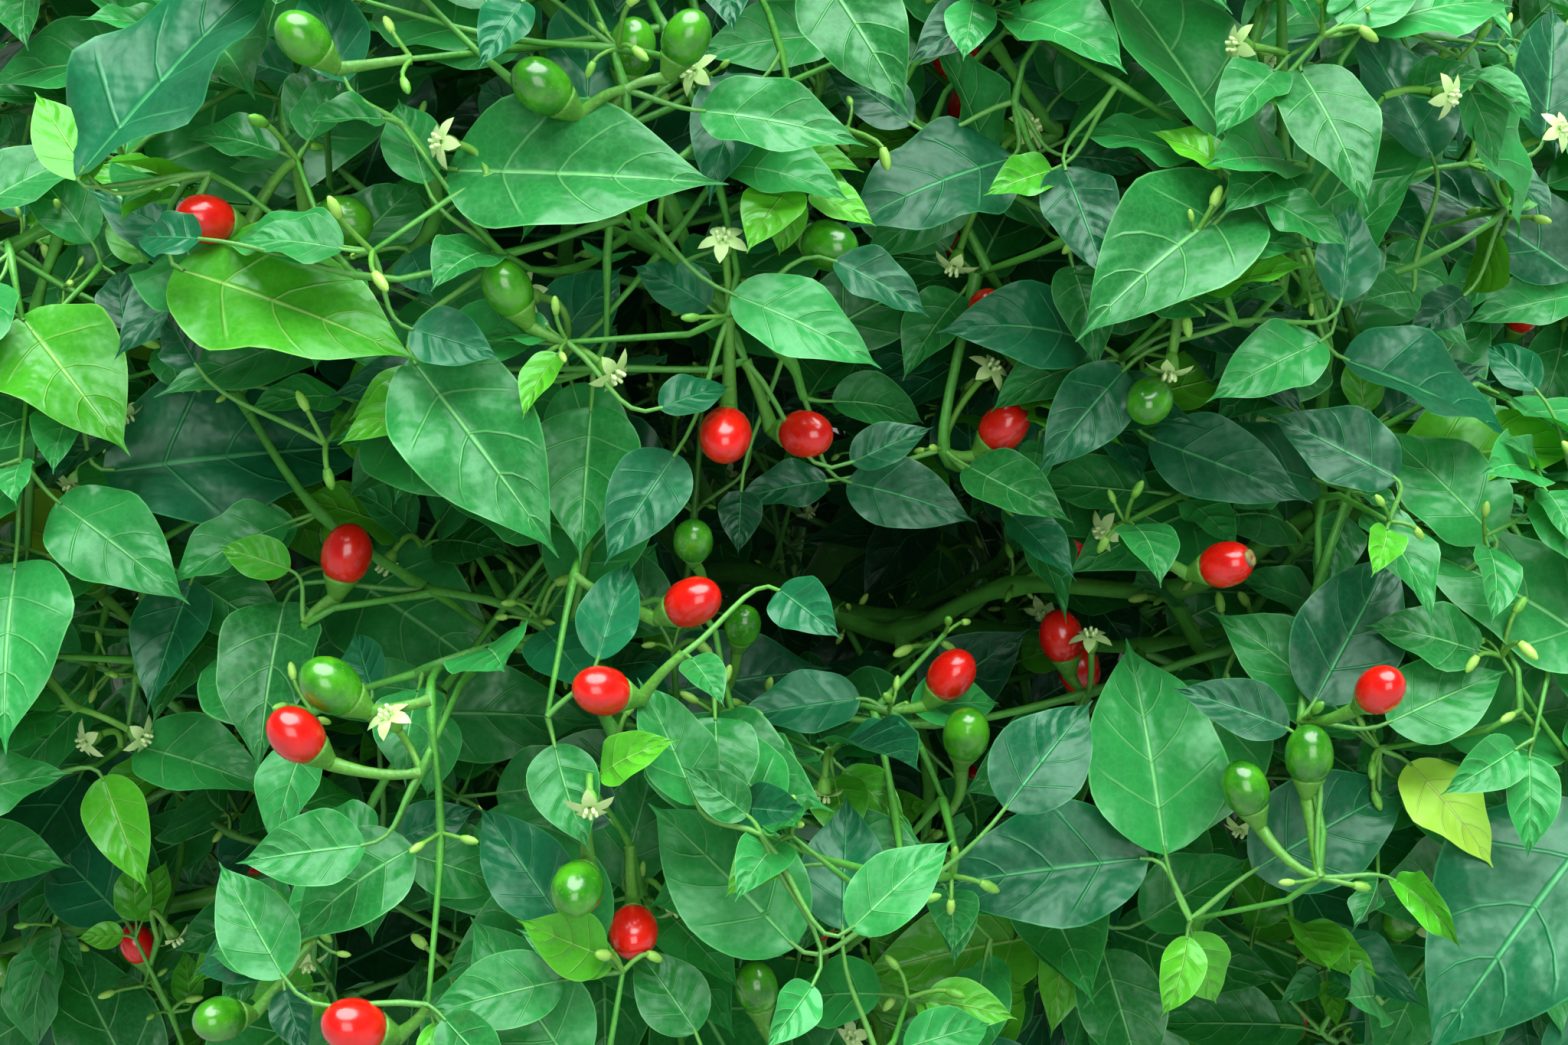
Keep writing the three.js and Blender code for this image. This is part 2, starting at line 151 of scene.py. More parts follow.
def spun(v, axis, degrees):
    """v turned about a unit axis"""
    c, s = math.cos(math.radians(degrees)), math.sin(math.radians(degrees))
    return v * c + np.cross(axis, v) * s + axis * (np.dot(axis, v) * (1 - c))


def square_to(v):
    """A unit vector square to v"""
    other = UP if abs(v[2]) < STEEP else np.array([1.0, 0.0, 0.0])
    return unit(np.cross(other, v))


def mix(a, b, t):
    """What lies at a share t of the way from a to b"""
    return a + (b - a) * t


def smooth(low, high, x):
    """0 below low and 1 above high, with an even bend between"""
    t = np.clip((x - low) / (high - low), 0, 1)
    return t * t * (3 - 2 * t)


def draw(*keys):
    """A number from 0 to 1 that depends only on the words and numbers given, as in the source"""
    h = SEED
    for letter in "/".join(str(k) for k in keys):
        h = ((h ^ ord(letter)) * HASH_PRIME) & LAST_WORD
    for shift, factor in HASH_STEPS:
        h ^= h >> shift
        h = (h * factor) & LAST_WORD
    h ^= h >> 16
    return h / (LAST_WORD + 1)


def spread(least, more, *keys):
    """A drawn number between the least and that much more"""
    return least + more * draw(*keys)


# The camera, at the photograph's viewing angle

PHOTO_WIDTH = 2048
PHOTO_HEIGHT = 1365
CAMERA_PLACE = np.array([9.0, -574.0, 664.0])
CAMERA_ELEVATION = 42
SENSOR_WIDTH = 36
LENS = 52
TILT = math.radians(CAMERA_ELEVATION)
VIEW_WAY = np.array([0.0, math.cos(TILT), -math.sin(TILT)])
VIEW_UP = np.array([0.0, math.sin(TILT), math.cos(TILT)])
VIEW_RIGHT = np.array([1.0, 0.0, 0.0])


def ray_through(pixel):
    """The way from the camera through a pixel of the photograph"""
    scale = SENSOR_WIDTH / LENS / PHOTO_WIDTH
    right = (pixel[0] - PHOTO_WIDTH / 2) * scale
    up = (PHOTO_HEIGHT / 2 - pixel[1]) * scale
    return unit(VIEW_WAY + VIEW_RIGHT * right + VIEW_UP * up)


def pixels_of(points):
    """Where points fall in the photograph's frame, and how deep they lie"""
    seen = np.atleast_2d(points) - CAMERA_PLACE
    depth = seen @ VIEW_WAY
    scale = LENS / SENSOR_WIDTH * PHOTO_WIDTH / depth
    right = PHOTO_WIDTH / 2 + seen @ VIEW_RIGHT * scale
    down = PHOTO_HEIGHT / 2 - seen @ VIEW_UP * scale
    return np.stack([right, down], -1), depth


# The spaces that the masses keep to

def place_masses():
    """The masses of foliage in their rings, with the walls halfway to each other"""
    masses = []
    for ring, r in RINGS.items():
        for i in range(r["count"]):
            scatter = [(draw("scatter", ring, i, axis) - 0.5) * 2 * RING_SCATTER for axis in "xyz"]
            turn = math.radians(r["turn"] + 360 * i / r["count"])
            even = [r["out"] * math.cos(turn), r["out"] * math.sin(turn), r["height"]]
            centre = np.add(even, scatter)
            outward = unit(centre - CROWN_HEART)
            masses.append(dict(ring=ring, name=f"{ring}_{i + 1}", centre=centre, outward=outward,
                               reach=r["reach"]))
    for mass in masses:
        others = [other["centre"] for other in masses if other is not mass]
        mass["walls"] = np.array([unit(c - mass["centre"]) for c in others])
        middles = [mix(mass["centre"], c, 0.5) for c in others]
        mass["wall_places"] = np.sum(mass["walls"] * middles, axis=1)
    return masses


def distances_to_segments(points, starts, ends):
    """How far each point lies from each segment"""
    along = ends - starts
    t = np.einsum("psk,sk->ps", points[:, None] - starts, along) / np.sum(along * along, axis=1)
    nearest = starts + np.clip(t, 0, 1)[..., None] * along
    return np.linalg.norm(points[:, None] - nearest, axis=2)


def in_space(mass, points, inset=0):
    """Whether points keep to a mass's space, above the ground and out of the hollow"""
    points = np.atleast_2d(points)
    if points[:, 2].min() < GROUND_CLEARANCE:
        return False
    if np.linalg.norm(points - mass["centre"], axis=1).max() > mass["reach"] - inset:
        return False
    if distances_to_segments(points, GAP_TOP[None], GAP_FOOT[None]).min() < GAP_RADIUS:
        return False
    past = points @ mass["walls"].T - mass["wall_places"]
    return past.max() < -SPACE_MARGIN - inset / WALL_INSET


class Limbs:
    """The trunk and boughs as segments, to keep foliage clear of them"""

    def __init__(self, limbs):
        self.starts = np.array([a for limb in limbs for a in limb["line"][:-1]])
        self.ends = np.array([b for limb in limbs for b in limb["line"][1:]])
        thick = [np.maximum(limb["radii"][:-1], limb["radii"][1:]) for limb in limbs]
        self.radii = np.concatenate(thick)
        self.owners = np.array([limb["name"] for limb in limbs for _ in limb["line"][1:]])

    def clear(self, points, gap, leave_out=None):
        """Whether points keep a gap from all limbs but one"""
        kept = self.owners != leave_out
        apart = distances_to_segments(np.atleast_2d(points), self.starts[kept], self.ends[kept])
        return bool(np.all(apart > self.radii[kept] + gap))


# The trunk and boughs

def grow_trunk():
    """The trunk as a line of places with radii, flared at its foot"""
    line, radii = [], []
    for share in TRUNK_SHARES:
        z = TRUNK_HEIGHT * share
        line.append(np.array([TRUNK_LEAN * share * share, -TRUNK_LEAN * SIDE_LEAN * share * share, z]))
        radii.append(mix(TRUNK_RADIUS - share, FOOT_RADIUS, math.exp(-FLARE_FALL * z / FLARE_HEIGHT)))
    return dict(name="trunk", line=line, radii=radii, parent=None)


def along_limb(limb, share):
    """The place, way and radius at a share of a limb's length"""
    at = share * (len(limb["line"]) - 1)
    i = min(int(at), len(limb["line"]) - 2)
    a, b = limb["line"][i], limb["line"][i + 1]
    radius = mix(limb["radii"][i], limb["radii"][i + 1], at - i)
    return mix(a, b, at - i), unit(b - a), radius


def entry_of(mass, start):
    """Where a bough that comes from a point enters its mass"""
    back = unit(start - mass["centre"])
    share = ENTRY_SHARE
    while share > 0 and not in_space(mass, mass["centre"] + back * ((share + ENTRY_STEP) * mass["reach"])):
        share -= ENTRY_STEP
    return mass["centre"] + back * (share * mass["reach"])


def bezier(a, b, c, d, t):
    """A point on the curve from a to d that b and c pull"""
    s = 1 - t
    return s * s * s * a + 3 * s * s * t * b + 3 * s * t * t * c + t * t * t * d


def grow_bough(mass, parent, share, start_radius):
    """A bough that leaves its parent at a share of its length and bends to its mass"""
    start, start_way, _ = along_limb(parent, share)
    goal = mass["centre"] - start
    end = entry_of(mass, start)
    run = np.linalg.norm(end - start)
    aside = unit(goal - start_way * np.dot(goal, start_way))
    ahead = math.radians(STRAIGHT_SHARE * DEPARTURE_ANGLE if share >= 1 else DEPARTURE_ANGLE)
    leave = start_way * math.cos(ahead) + aside * math.sin(ahead)
    arrive = unit(unit(goal) + UP * BOUGH_LIFT)
    kink_way = square_to(unit(goal))
    line, radii = [], []
    for i in range(BOUGH_STEPS + 1):
        t = i / BOUGH_STEPS
        kink = 0
        if 0 < i < BOUGH_STEPS:
            kink = BOUGH_KINK * (1 if i % 2 else -1) * spread(LEAST_KINK, 1, "kink", mass["name"], i)
        place = bezier(start, start + leave * (LEAVE_PULL * run), end - arrive * (ARRIVE_PULL * run), end, t)
        line.append(place + kink_way * kink)
        radii.append(mix(start_radius, BOUGH_TIP_RADIUS, t ** BOUGH_TAPER))
    mass["heading"] = unit(line[-1] - line[-2])
    mass["foot"] = end + mass["heading"] * SEAT_GAP
    mass["bough"] = f"bough_{mass['name']}"
    return dict(name=mass["bough"], line=line, radii=radii, parent=parent, mass=mass)


def grow_boughs(masses, trunk):
    """A bough to each mass: the main and the inner ones off the trunk, the others off a bough near them"""
    def of(ring):
        return [m for m in masses if m["ring"] == ring]

    def bearing(mass):
        return math.atan2(mass["centre"][1], mass["centre"][0])

    def nearest(mass, limbs):
        return min(limbs, key=lambda l: abs(math.sin((bearing(l["mass"]) - bearing(mass)) / 2)))

    boughs = []

    def fork(mass, limbs, share):
        parent = nearest(mass, limbs)
        boughs.append(grow_bough(mass, parent, share, along_limb(parent, share)[2] * PARENT_SHARE))

    shoulders = of("shoulder")
    for mass, share in zip(shoulders[::2], MAIN_SHARES):
        boughs.append(grow_bough(mass, trunk, share, MAIN_BOUGH_RADIUS))
    mains = list(boughs)
    for mass in shoulders[1::2]:
        fork(mass, mains, SHOULDER_FORK)
    fork(of("top")[0], mains[:1], TOP_FORK)
    taken = {}
    sides = []
    for mass in of("side"):
        parent = nearest(mass, mains)
        before = taken.get(parent["name"], 0)
        taken[parent["name"]] = before + 1
        fork(mass, [parent], SIDE_FORK + SIDE_FORK_STEP * before)
        sides.append(boughs[-1])
    for mass in of("skirt"):
        fork(mass, sides, SKIRT_FORK)
    for i, mass in enumerate(of("heart")):
        share = HEART_FORK + HEART_FORK_STEP * i
        boughs.append(grow_bough(mass, trunk, share, BOUGH_TIP_RADIUS + HEART_EXTRA_RADIUS))
    return boughs


# The twigs

def grow_joint(mass, start, number, place, way, across, attempt):
    """The next joint of a twig, bent further from its way at each new attempt"""
    path, level = start["path"], start["level"]

    def roll(what, *more):
        return draw(what, mass["name"], path, number, *more)

    length = JOINT_LENGTH * JOINT_SHRINK ** level * (LEAST_LENGTH + LENGTH_SPREAD * roll("length"))
    forks = level > 0 and number == 1
    bend = (FORK_ANGLE if forks else TWIG_BEND) * (LEAST_ANGLE + ANGLE_SPREAD * roll("angle", attempt))
    angle = math.radians(bend + TWIG_STEER * attempt)
    turn = ASIDE_SPREAD * (roll("aside", attempt) - 0.5) + ASIDE_STEP * attempt + (180 if forks else 0)
    aside = spun(across, way, turn)
    ahead = way * math.cos(angle) + aside * math.sin(angle)
    ahead = unit(ahead + UP * TWIG_LIFT + mass["outward"] * TWIG_LIFT)
    square = unit(across - ahead * np.dot(across, ahead))
    return dict(number=number, end=place + ahead * length, way=ahead, across=spun(square, ahead, TWIG_TURN))


def grow_twig(mass, limbs, start):
    """A twig that keeps to its mass's space and clear of the limbs"""
    place, way, across = start["place"], start["way"], start["across"]
    level = start["level"]
    inset = TWIG_INSET if level < TWIG_LEVELS - 1 else FINE_INSET
    joints = []
    for number in range(1, TWIG_JOINTS[level] + 1):
        leave_out = mass["bough"] if level == 0 and number == 1 else None
        for attempt in range(TWIG_TRIES):
            joint = grow_joint(mass, start, number, place, way, across, attempt)
            points = np.array([mix(place, joint["end"], t) for t in TESTED_SHARES])
            if in_space(mass, points, inset) and limbs.clear(points, LIMB_CLEARANCE, leave_out):
                break
        else:
            break
        joints.append(joint)
        place, way, across = joint["end"], joint["way"], joint["across"]
    line = [start["place"]] + [j["end"] for j in joints]
    radii = [TWIG_RADIUS[level] * (1 - TWIG_NARROWS * i / TWIG_JOINTS[level]) for i in range(len(line))]
    return dict(start, mass=mass, joints=joints, line=line, radii=radii)


def grow_twigs(mass, limbs):
    """All twigs of a mass, each joint bearing finer ones"""
    starts = [dict(path="0", level=0, place=mass["foot"], way=mass["heading"],
                   across=square_to(mass["heading"]))]
    twigs = []
    for start in starts:
        twig = grow_twig(mass, limbs, start)
        if not twig["joints"]:
            continue
        twigs.append(twig)
        if start["level"] + 1 == TWIG_LEVELS:
            continue
        for joint in twig["joints"]:
            foot = joint["end"] - joint["way"] * FORK_BACK
            path, level = f"{start['path']}.{joint['number']}", start["level"] + 1
            starts.append(dict(path=path, level=level, place=foot, way=joint["way"], across=joint["across"]))
            if level == TWIG_LEVELS - 1:
                starts.append(dict(path=path + "b", level=level, place=foot, way=joint["way"],
                                   across=-joint["across"]))
    return twigs


masses = place_masses()
trunk = grow_trunk()
boughs = grow_boughs(masses, trunk)
limbs = Limbs([trunk] + boughs)
twigs = [twig for mass in masses for twig in grow_twigs(mass, limbs)]


# Leafy shoots on the boughs, twigs into the seams, and stems where the photograph shows them

INNER_REACH = 300
FAR_WALL = 1000.0
INNER = dict(name="inner", ring="heart", centre=CROWN_HEART, reach=INNER_REACH, outward=UP, bough=None,
             walls=np.array([UP]), wall_places=np.array([FAR_WALL]))
SHOOT_POINTS = (1, 2, 3)


def grow_shoots(bough):
    """Shoots to two sides of a bough's inner points"""
    shoots = []
    for number in SHOOT_POINTS:
        place = bough["line"][number]
        way = unit(place - bough["line"][number - 1])
        across = spun(square_to(way), way, 360 * draw("shoot", bough["name"], number))
        for letter, side in (("b", across), ("a", -across)):
            path = f"{bough['name']}.{number}{letter}"
            shoot = grow_twig(INNER, limbs, dict(path=path, level=1, place=place, way=way, across=side))
            if shoot["joints"]:
                shoots.append(shoot)
    return shoots


SEAM_REACH = 245
SEAM_PUSH = 0.32
SEAM_LEVEL = 1


def grow_seams(mass):
    """Twigs from a mass into the seams between it and its neighbours"""
    carriers = [twig for twig in twigs if twig["mass"] is mass and twig["level"] <= SEAM_LEVEL]
    joints = [joint for twig in carriers for joint in twig["joints"]]
    ends = np.array([joint["end"] for joint in joints])
    seams = []
    for other in masses:
        turn = draw("seam", *sorted((mass["name"], other["name"]))) < 0.5
        apart = np.linalg.norm(other["centre"] - mass["centre"])
        if turn == (mass["name"] < other["name"]) or apart > SEAM_REACH:
            continue
        middle = mix(mass["centre"], other["centre"], 0.5)
        goal = middle + unit(middle - CROWN_HEART) * (SEAM_PUSH * mass["reach"])
        joint = joints[np.linalg.norm(ends - goal, axis=1).argmin()]
        way = unit(goal - joint["end"])
        across = unit(joint["across"] - way * np.dot(joint["across"], way))
        path = f"{mass['name']}.{other['name']}"
        seam = grow_twig(INNER, limbs, dict(path=path, level=0, place=joint["end"], way=way, across=across))
        if seam["joints"]:
            seam["radii"] = [radius * TWIG_RADIUS[SEAM_LEVEL] / TWIG_RADIUS[0] for radius in seam["radii"]]
            seams.append(dict(seam, level=SEAM_LEVEL, mass=dict(INNER, ring=mass["ring"])))
    return seams


STEM_NARROWS = 0.25
STEM_LEVEL = 0
CARRIER_SHARES = (0, 0.25, 0.5, 0.75, 1)


def listed_stem(name, radius, stops):
    """A stem through pixels at their depths, from the nearest bough or twig"""
    rays = [ray_through(stop) for stop in stops]
    line = [CAMERA_PLACE + ray * (stop[2] / np.dot(ray, VIEW_WAY)) for stop, ray in zip(stops, rays)]
    carriers = np.array([mix(a, b, t) for limb in boughs + twigs
                         for a, b in zip(limb["line"], limb["line"][1:]) for t in CARRIER_SHARES])
    foot = carriers[np.linalg.norm(carriers - line[0], axis=1).argmin()]
    line = [foot] + line
    joints = []
    for number in range(1, len(line)):
        way = unit(line[number] - line[number - 1])
        joints.append(dict(number=number, end=line[number], way=way,
                           across=spun(square_to(way), way, TWIG_TURN * number)))
    radii = [radius * (1 - STEM_NARROWS * i / (len(line) - 1)) for i in range(len(line))]
    return dict(name=name, path=name, level=STEM_LEVEL, mass=INNER, joints=joints, line=line, radii=radii)


# Meshes made of many small ones

class Heap:
    """Small meshes of one kind, gathered to be joined into one piece"""

    def __init__(self, name, slot):
        self.name, self.slot = name, slot
        self.points, self.faces, self.shades, self.marks = [], [], [], []
        self.count = 0

    def add(self, mesh, shade, marks=None):
        """marks are two numbers at each point that the material draws with, as a flat map"""
        points, faces = mesh
        points = np.asarray(points).reshape(-1, 3)
        self.points.append(points)
        self.faces += [np.asarray(group) + self.count for group in faces]
        self.shades.append(np.broadcast_to(np.asarray(shade, dtype=float), (len(points),)))
        self.marks.append(np.zeros((len(points), 2)) if marks is None else marks.reshape(-1, 2))
        self.count += len(points)

    def build(self, material, replaced):
        """Joins the heap into one piece, with a shade at each point and the marks as its map"""
        points = np.concatenate(self.points) * MM
        faces = [face for group in self.faces for face in group.tolist()]
        mesh = bpy.data.meshes.new(self.name)
        mesh.from_pydata(points.tolist(), [], faces)
        mesh.polygons.foreach_set("use_smooth", np.ones(len(mesh.polygons), dtype=bool))
        shade = mesh.attributes.new("shade", "FLOAT", "POINT")
        shade.data.foreach_set("value", np.concatenate(self.shades))
        corners = np.empty(len(mesh.loops), dtype=np.int32)
        mesh.loops.foreach_get("vertex_index", corners)
        layer = mesh.uv_layers.new(name="marks")
        layer.data.foreach_set("uv", np.concatenate(self.marks)[corners].ravel())
        mesh.materials.append(material)
        piece = bpy.data.objects.new(self.name, mesh)
        bpy.context.scene.collection.objects.link(piece)
        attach(piece, "root")
        if replaced:
            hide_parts(*replaced)


def grid_faces(rows, columns, closed):
    """Quads between neighbouring rows of points, closed round for a tube"""
    i = np.arange(rows - 1)[:, None] * columns
    k = np.arange(columns if closed else columns - 1)[None, :]
    after = (k + 1) % columns
    return np.stack([i + k, i + after, i + after + columns, i + k + columns], axis=-1).reshape(-1, 4)


def curve_through(line, radii, steps):
    """A smooth curve through a line's points, with its radii and how far along each point is"""
    line = np.asarray(line)
    padded = np.concatenate([[2 * line[0] - line[1]], line, [2 * line[-1] - line[-2]]])
    places = np.linspace(0, len(line) - 1, (len(line) - 1) * steps + 1)
    i = np.minimum(places.astype(int), len(line) - 2)
    t = (places - i)[:, None]
    a, b, c, d = (padded[i + k] for k in range(4))
    points = b + 0.5 * t * (c - a + t * (2 * a - 5 * b + 4 * c - d + t * (3 * (b - c) + d - a)))
    radii = np.interp(places, np.arange(len(line)), radii)
    run = np.concatenate([[0], np.cumsum(np.linalg.norm(np.diff(points, axis=0), axis=1))])
    return points, radii, run


def frames_along(points):
    """Two unit vectors square to a curve at each of its points, carried along without twist"""
    ways = np.gradient(points, axis=0)
    ways /= np.linalg.norm(ways, axis=1)[:, None]
    across = square_to(ways[0])
    acrosses = []
    for way in ways:
        across = unit(across - way * np.dot(across, way))
        acrosses.append(across)
    acrosses = np.array(acrosses)
    return acrosses, np.cross(ways, acrosses), ways


CAP_BULGE = 0.6


def tube(points, radii, sides, lobes=1.0, capped=True):
    """A tube along a curve. lobes scales its radius at each point round each ring."""
    across, up, ways = frames_along(points)
    angles = np.arange(sides) * 2 * math.pi / sides
    rim = across[:, None] * np.cos(angles)[:, None] + up[:, None] * np.sin(angles)[:, None]
    reach = np.broadcast_to(np.asarray(radii)[:, None] * lobes, (len(points), sides))
    rings = (points[:, None] + rim * reach[..., None]).reshape(-1, 3)
    faces = [grid_faces(len(points), sides, True)]
    if capped:
        last = (len(points) - 1) * sides
        k = np.arange(sides)
        faces.append(np.stack([last + k, last + (k + 1) % sides, np.full(sides, len(rings))], axis=-1))
        rings = np.concatenate([rings, [points[-1] + ways[-1] * radii[-1] * CAP_BULGE]])
    return rings, faces


def lathe(radii, heights, sides):
    """A turned shape about +Z whose first and last rings close to a point"""
    angles = np.arange(sides) * 2 * math.pi / sides
    r = np.asarray(radii)[1:-1, None]
    z = np.asarray(heights)[1:-1, None] + 0 * r * angles
    rings = np.stack([r * np.cos(angles), r * np.sin(angles), z], -1)
    rows = len(radii) - 2
    k = np.arange(sides)
    foot, top = rows * sides, rows * sides + 1
    points = np.concatenate([rings.reshape(-1, 3), [[0, 0, heights[0]], [0, 0, heights[-1]]]])
    last = (rows - 1) * sides
    faces = [
        grid_faces(rows, sides, True),
        np.stack([(k + 1) % sides, k, np.full(sides, foot)], -1),
        np.stack([last + k, last + (k + 1) % sides, np.full(sides, top)], -1),
    ]
    return points, faces


def stood(mesh, place, way, scale=1.0, turn=0.0):
    """A mesh made about +Z, put at a place and turned to point a way"""
    points, faces = mesh
    across = spun(square_to(way), way, turn)
    frame_rows = np.array([across, np.cross(way, across), way])
    return place + (np.asarray(points) * scale) @ frame_rows, faces


def bent(start, start_way, end, steps, pull):
    """A curve that leaves a place in a direction and bends to its end"""
    t = np.linspace(0, 1, steps)[:, None]
    knee = start + start_way * (np.linalg.norm(end - start) * pull)
    return (1 - t) ** 2 * start + 2 * t * (1 - t) * knee + t * t * end


# Leaves

# The outline, the side veins, the bulges between them and the bends, as shares of a leaf's size
VEIN_PAIRS = 5
VEIN_SWEEP = 0.26
BLADE_END = 0.94
LEAF_HALF = 0.29
RIB_STEPS = 40
PUCKERED_SPAN = 62
BODY_WIDTH = 3.27
BODY_RISE = 0.67
BODY_FALL = 1.12
TIP_WIDTH = 0.16
TIP_RUN = 0.3
TIP_FALL = 0.9
TIP_START = 0.5
LEAST_WIDTH = 0.004
SWEEP_LEAN = 0.8
SWEEP_POWER = 1.15
BULGE_END = 1.05
BITE_LEAST = 0.75
BITE_MORE = 0.5
BITE_WAVES = (37, 19)
DROOP_POWER = 1.4
RIB_SINK = 0.4
WAVES_ALONG = 2.3
SIDES_APART = 1.7


def leaf_width(u):
    """A leaf's width along its length, as a share of its widest"""
    blade = np.clip(u / BLADE_END, 0, 1)
    body = BODY_WIDTH * blade ** BODY_RISE * (1 - blade) ** BODY_FALL
    narrowing = np.clip((1 - u) / TIP_RUN, 0, 1) ** TIP_FALL
    drip_tip = TIP_WIDTH * narrowing * np.clip(u / TIP_START, 0, 1) + LEAST_WIDTH
    return (body ** 3 + drip_tip ** 3) ** (1 / 3)


class LeafGrid:
    """Where a leaf's mesh has its points: along its side veins and across them"""

    def __init__(self, rows, columns):
        row = np.array(rows)[:, None] + 0 * np.array(columns)
        self.across = np.array(columns) + 0 * row
        self.out = np.abs(self.across)
        self.along = row + VEIN_SWEEP * np.sin(math.pi * row ** SWEEP_LEAN) * self.out ** SWEEP_POWER
        self.width = leaf_width(self.along)
        between_veins = np.abs(np.sin(math.pi * VEIN_PAIRS * row))
        self.bulge = between_veins * 4 * self.out * (BULGE_END - self.out) * np.sin(math.pi * row) ** 0.5
        self.faces = [grid_faces(len(rows), len(columns), False)]
        self.marks = np.stack([0.5 + 0.5 * self.across, row], axis=-1)
        middle = self.marks.reshape(-1, 2)[self.faces[0]].mean(axis=1)
        self.face_across, self.face_row = 2 * middle[:, 0] - 1, middle[:, 1]

    def parted(self, row):
        """The faces up to a row, and those past it"""
        past = self.face_row > row
        return [self.faces[0][~past]], [self.faces[0][past]]

    def holed(self, across, row, size):
        """The faces without those of a ragged hole"""
        ragged = np.abs(np.sin(BITE_WAVES[0] * self.face_row + BITE_WAVES[1] * self.face_across))
        bite = size * (BITE_LEAST + BITE_MORE * ragged)
        off = np.hypot((self.face_across - across) * LEAF_HALF, self.face_row - row)
        return [self.faces[0][off > bite]]


def vein_rows(steps, low, high):
    """Rows of a leaf's mesh, some steps from one side vein to the next"""
    count = round(steps * VEIN_PAIRS)
    return [k / count for k in range(1, count) if low < k / count < high]


SHOWN_GRID = LeafGrid(
    [0, 0.008, 0.02, 0.035, 0.05, 0.075, 0.1, 0.125] + vein_rows(4, 0.13, 0.96) + [0.97, 0.985, 1],
    (-1, -0.9, -0.7, -0.45, -0.2, 0, 0.2, 0.45, 0.7, 0.9, 1))
FINE_GRID = LeafGrid(
    [0, 0.01, 0.025, 0.045, 0.07, 0.1, 0.14, 0.2, 0.25, 0.3, 0.35] + vein_rows(2, 0.36, 0.95) + [0.955, 1],
    (-1, -0.72, -0.36, 0, 0.36, 0.72, 1))
MIDDLE_GRID = LeafGrid([0, 0.015, 0.04, 0.07, 0.1, 0.15, 0.2, 0.25] + vein_rows(2, 0.26, 0.95) + [0.955, 1],
                       (-1, -0.5, 0, 0.5, 1))
OUTER_GRID = LeafGrid((0, 0.03, 0.08, 0.15, 0.25, 0.37, 0.5, 0.63, 0.77, 0.9, 1), (-1, 0, 1))
PLAIN_GRID = LeafGrid((0, 0.04, 0.14, 0.3, 0.5, 0.7, 0.87, 1), (-1, 0, 1))
TEST_GRID = LeafGrid((0, 0.15, 0.4, 0.65, 0.86, 1), (-1, 0, 1))
TEST_FACES = [tuple(face) for face in TEST_GRID.faces[0].tolist()]
SIGHT_GRID = LeafGrid((0.2, 0.45, 0.68), (-0.5, 0, 0.5))


def leaf_points(leaf, grid):
    """A leaf's mesh points from its base, its way, the way that it faces, its size and its bends"""
    way, face = leaf["way"], leaf["face"]
    side = np.cross(face, way)
    shares = np.linspace(0, 1, RIB_STEPS + 1)
    pitch = leaf["droop"] * shares ** DROOP_POWER
    yaw = leaf["curve"] * shares
    steps = np.stack([np.cos(pitch) * np.cos(yaw), np.cos(pitch) * np.sin(yaw), -np.sin(pitch)], axis=1)
    rib = np.concatenate([[np.zeros(3)], np.cumsum(0.5 * (steps[1:] + steps[:-1]), axis=0)]) / RIB_STEPS
    u, width = grid.along, grid.width
    ribs = np.stack([np.interp(u, shares, rib[:, k]) for k in range(3)], axis=-1)
    pitch = np.interp(u, shares, pitch)
    yaw = np.interp(u, shares, yaw)
    roll = leaf["twist"] * u
    out = grid.across * width * leaf["half"]
    pucker = leaf["pucker"] * min(1, leaf["length"] / PUCKERED_SPAN)
    lift = np.abs(out) * math.sin(leaf["fold"]) + pucker * grid.bulge * width
    lift = lift - RIB_SINK * pucker * (grid.across == 0) * np.sqrt(width)
    wave = np.sin(2 * math.pi * (WAVES_ALONG * u + leaf["phase"]) + SIDES_APART * np.sign(grid.across))
    lift = lift + leaf["wave"] * wave * grid.out ** 2 * width
    out = out * math.cos(leaf["fold"])
    out, lift = out * np.cos(roll) - lift * np.sin(roll), out * np.sin(roll) + lift * np.cos(roll)
    x = ribs[..., 0] - out * np.sin(yaw) + lift * np.sin(pitch) * np.cos(yaw)
    y = ribs[..., 1] + out * np.cos(yaw) + lift * np.sin(pitch) * np.sin(yaw)
    z = ribs[..., 2] + lift * np.cos(pitch)
    return leaf["base"] + leaf["length"] * (x[..., None] * way + y[..., None] * side + z[..., None] * face)


# What keeps leaves, berries and flowers out of each other

# Room for this many things, the width of a twig's stand-in, and the margins of the lines of sight
MOST_THINGS = 14000
TWIG_SLIVER = (0.4, 0.4, 0.4)
SIGHT_MARGIN = 1.2
WIDEST_SIGHT = 1.5
SIGHT_GAP = 2


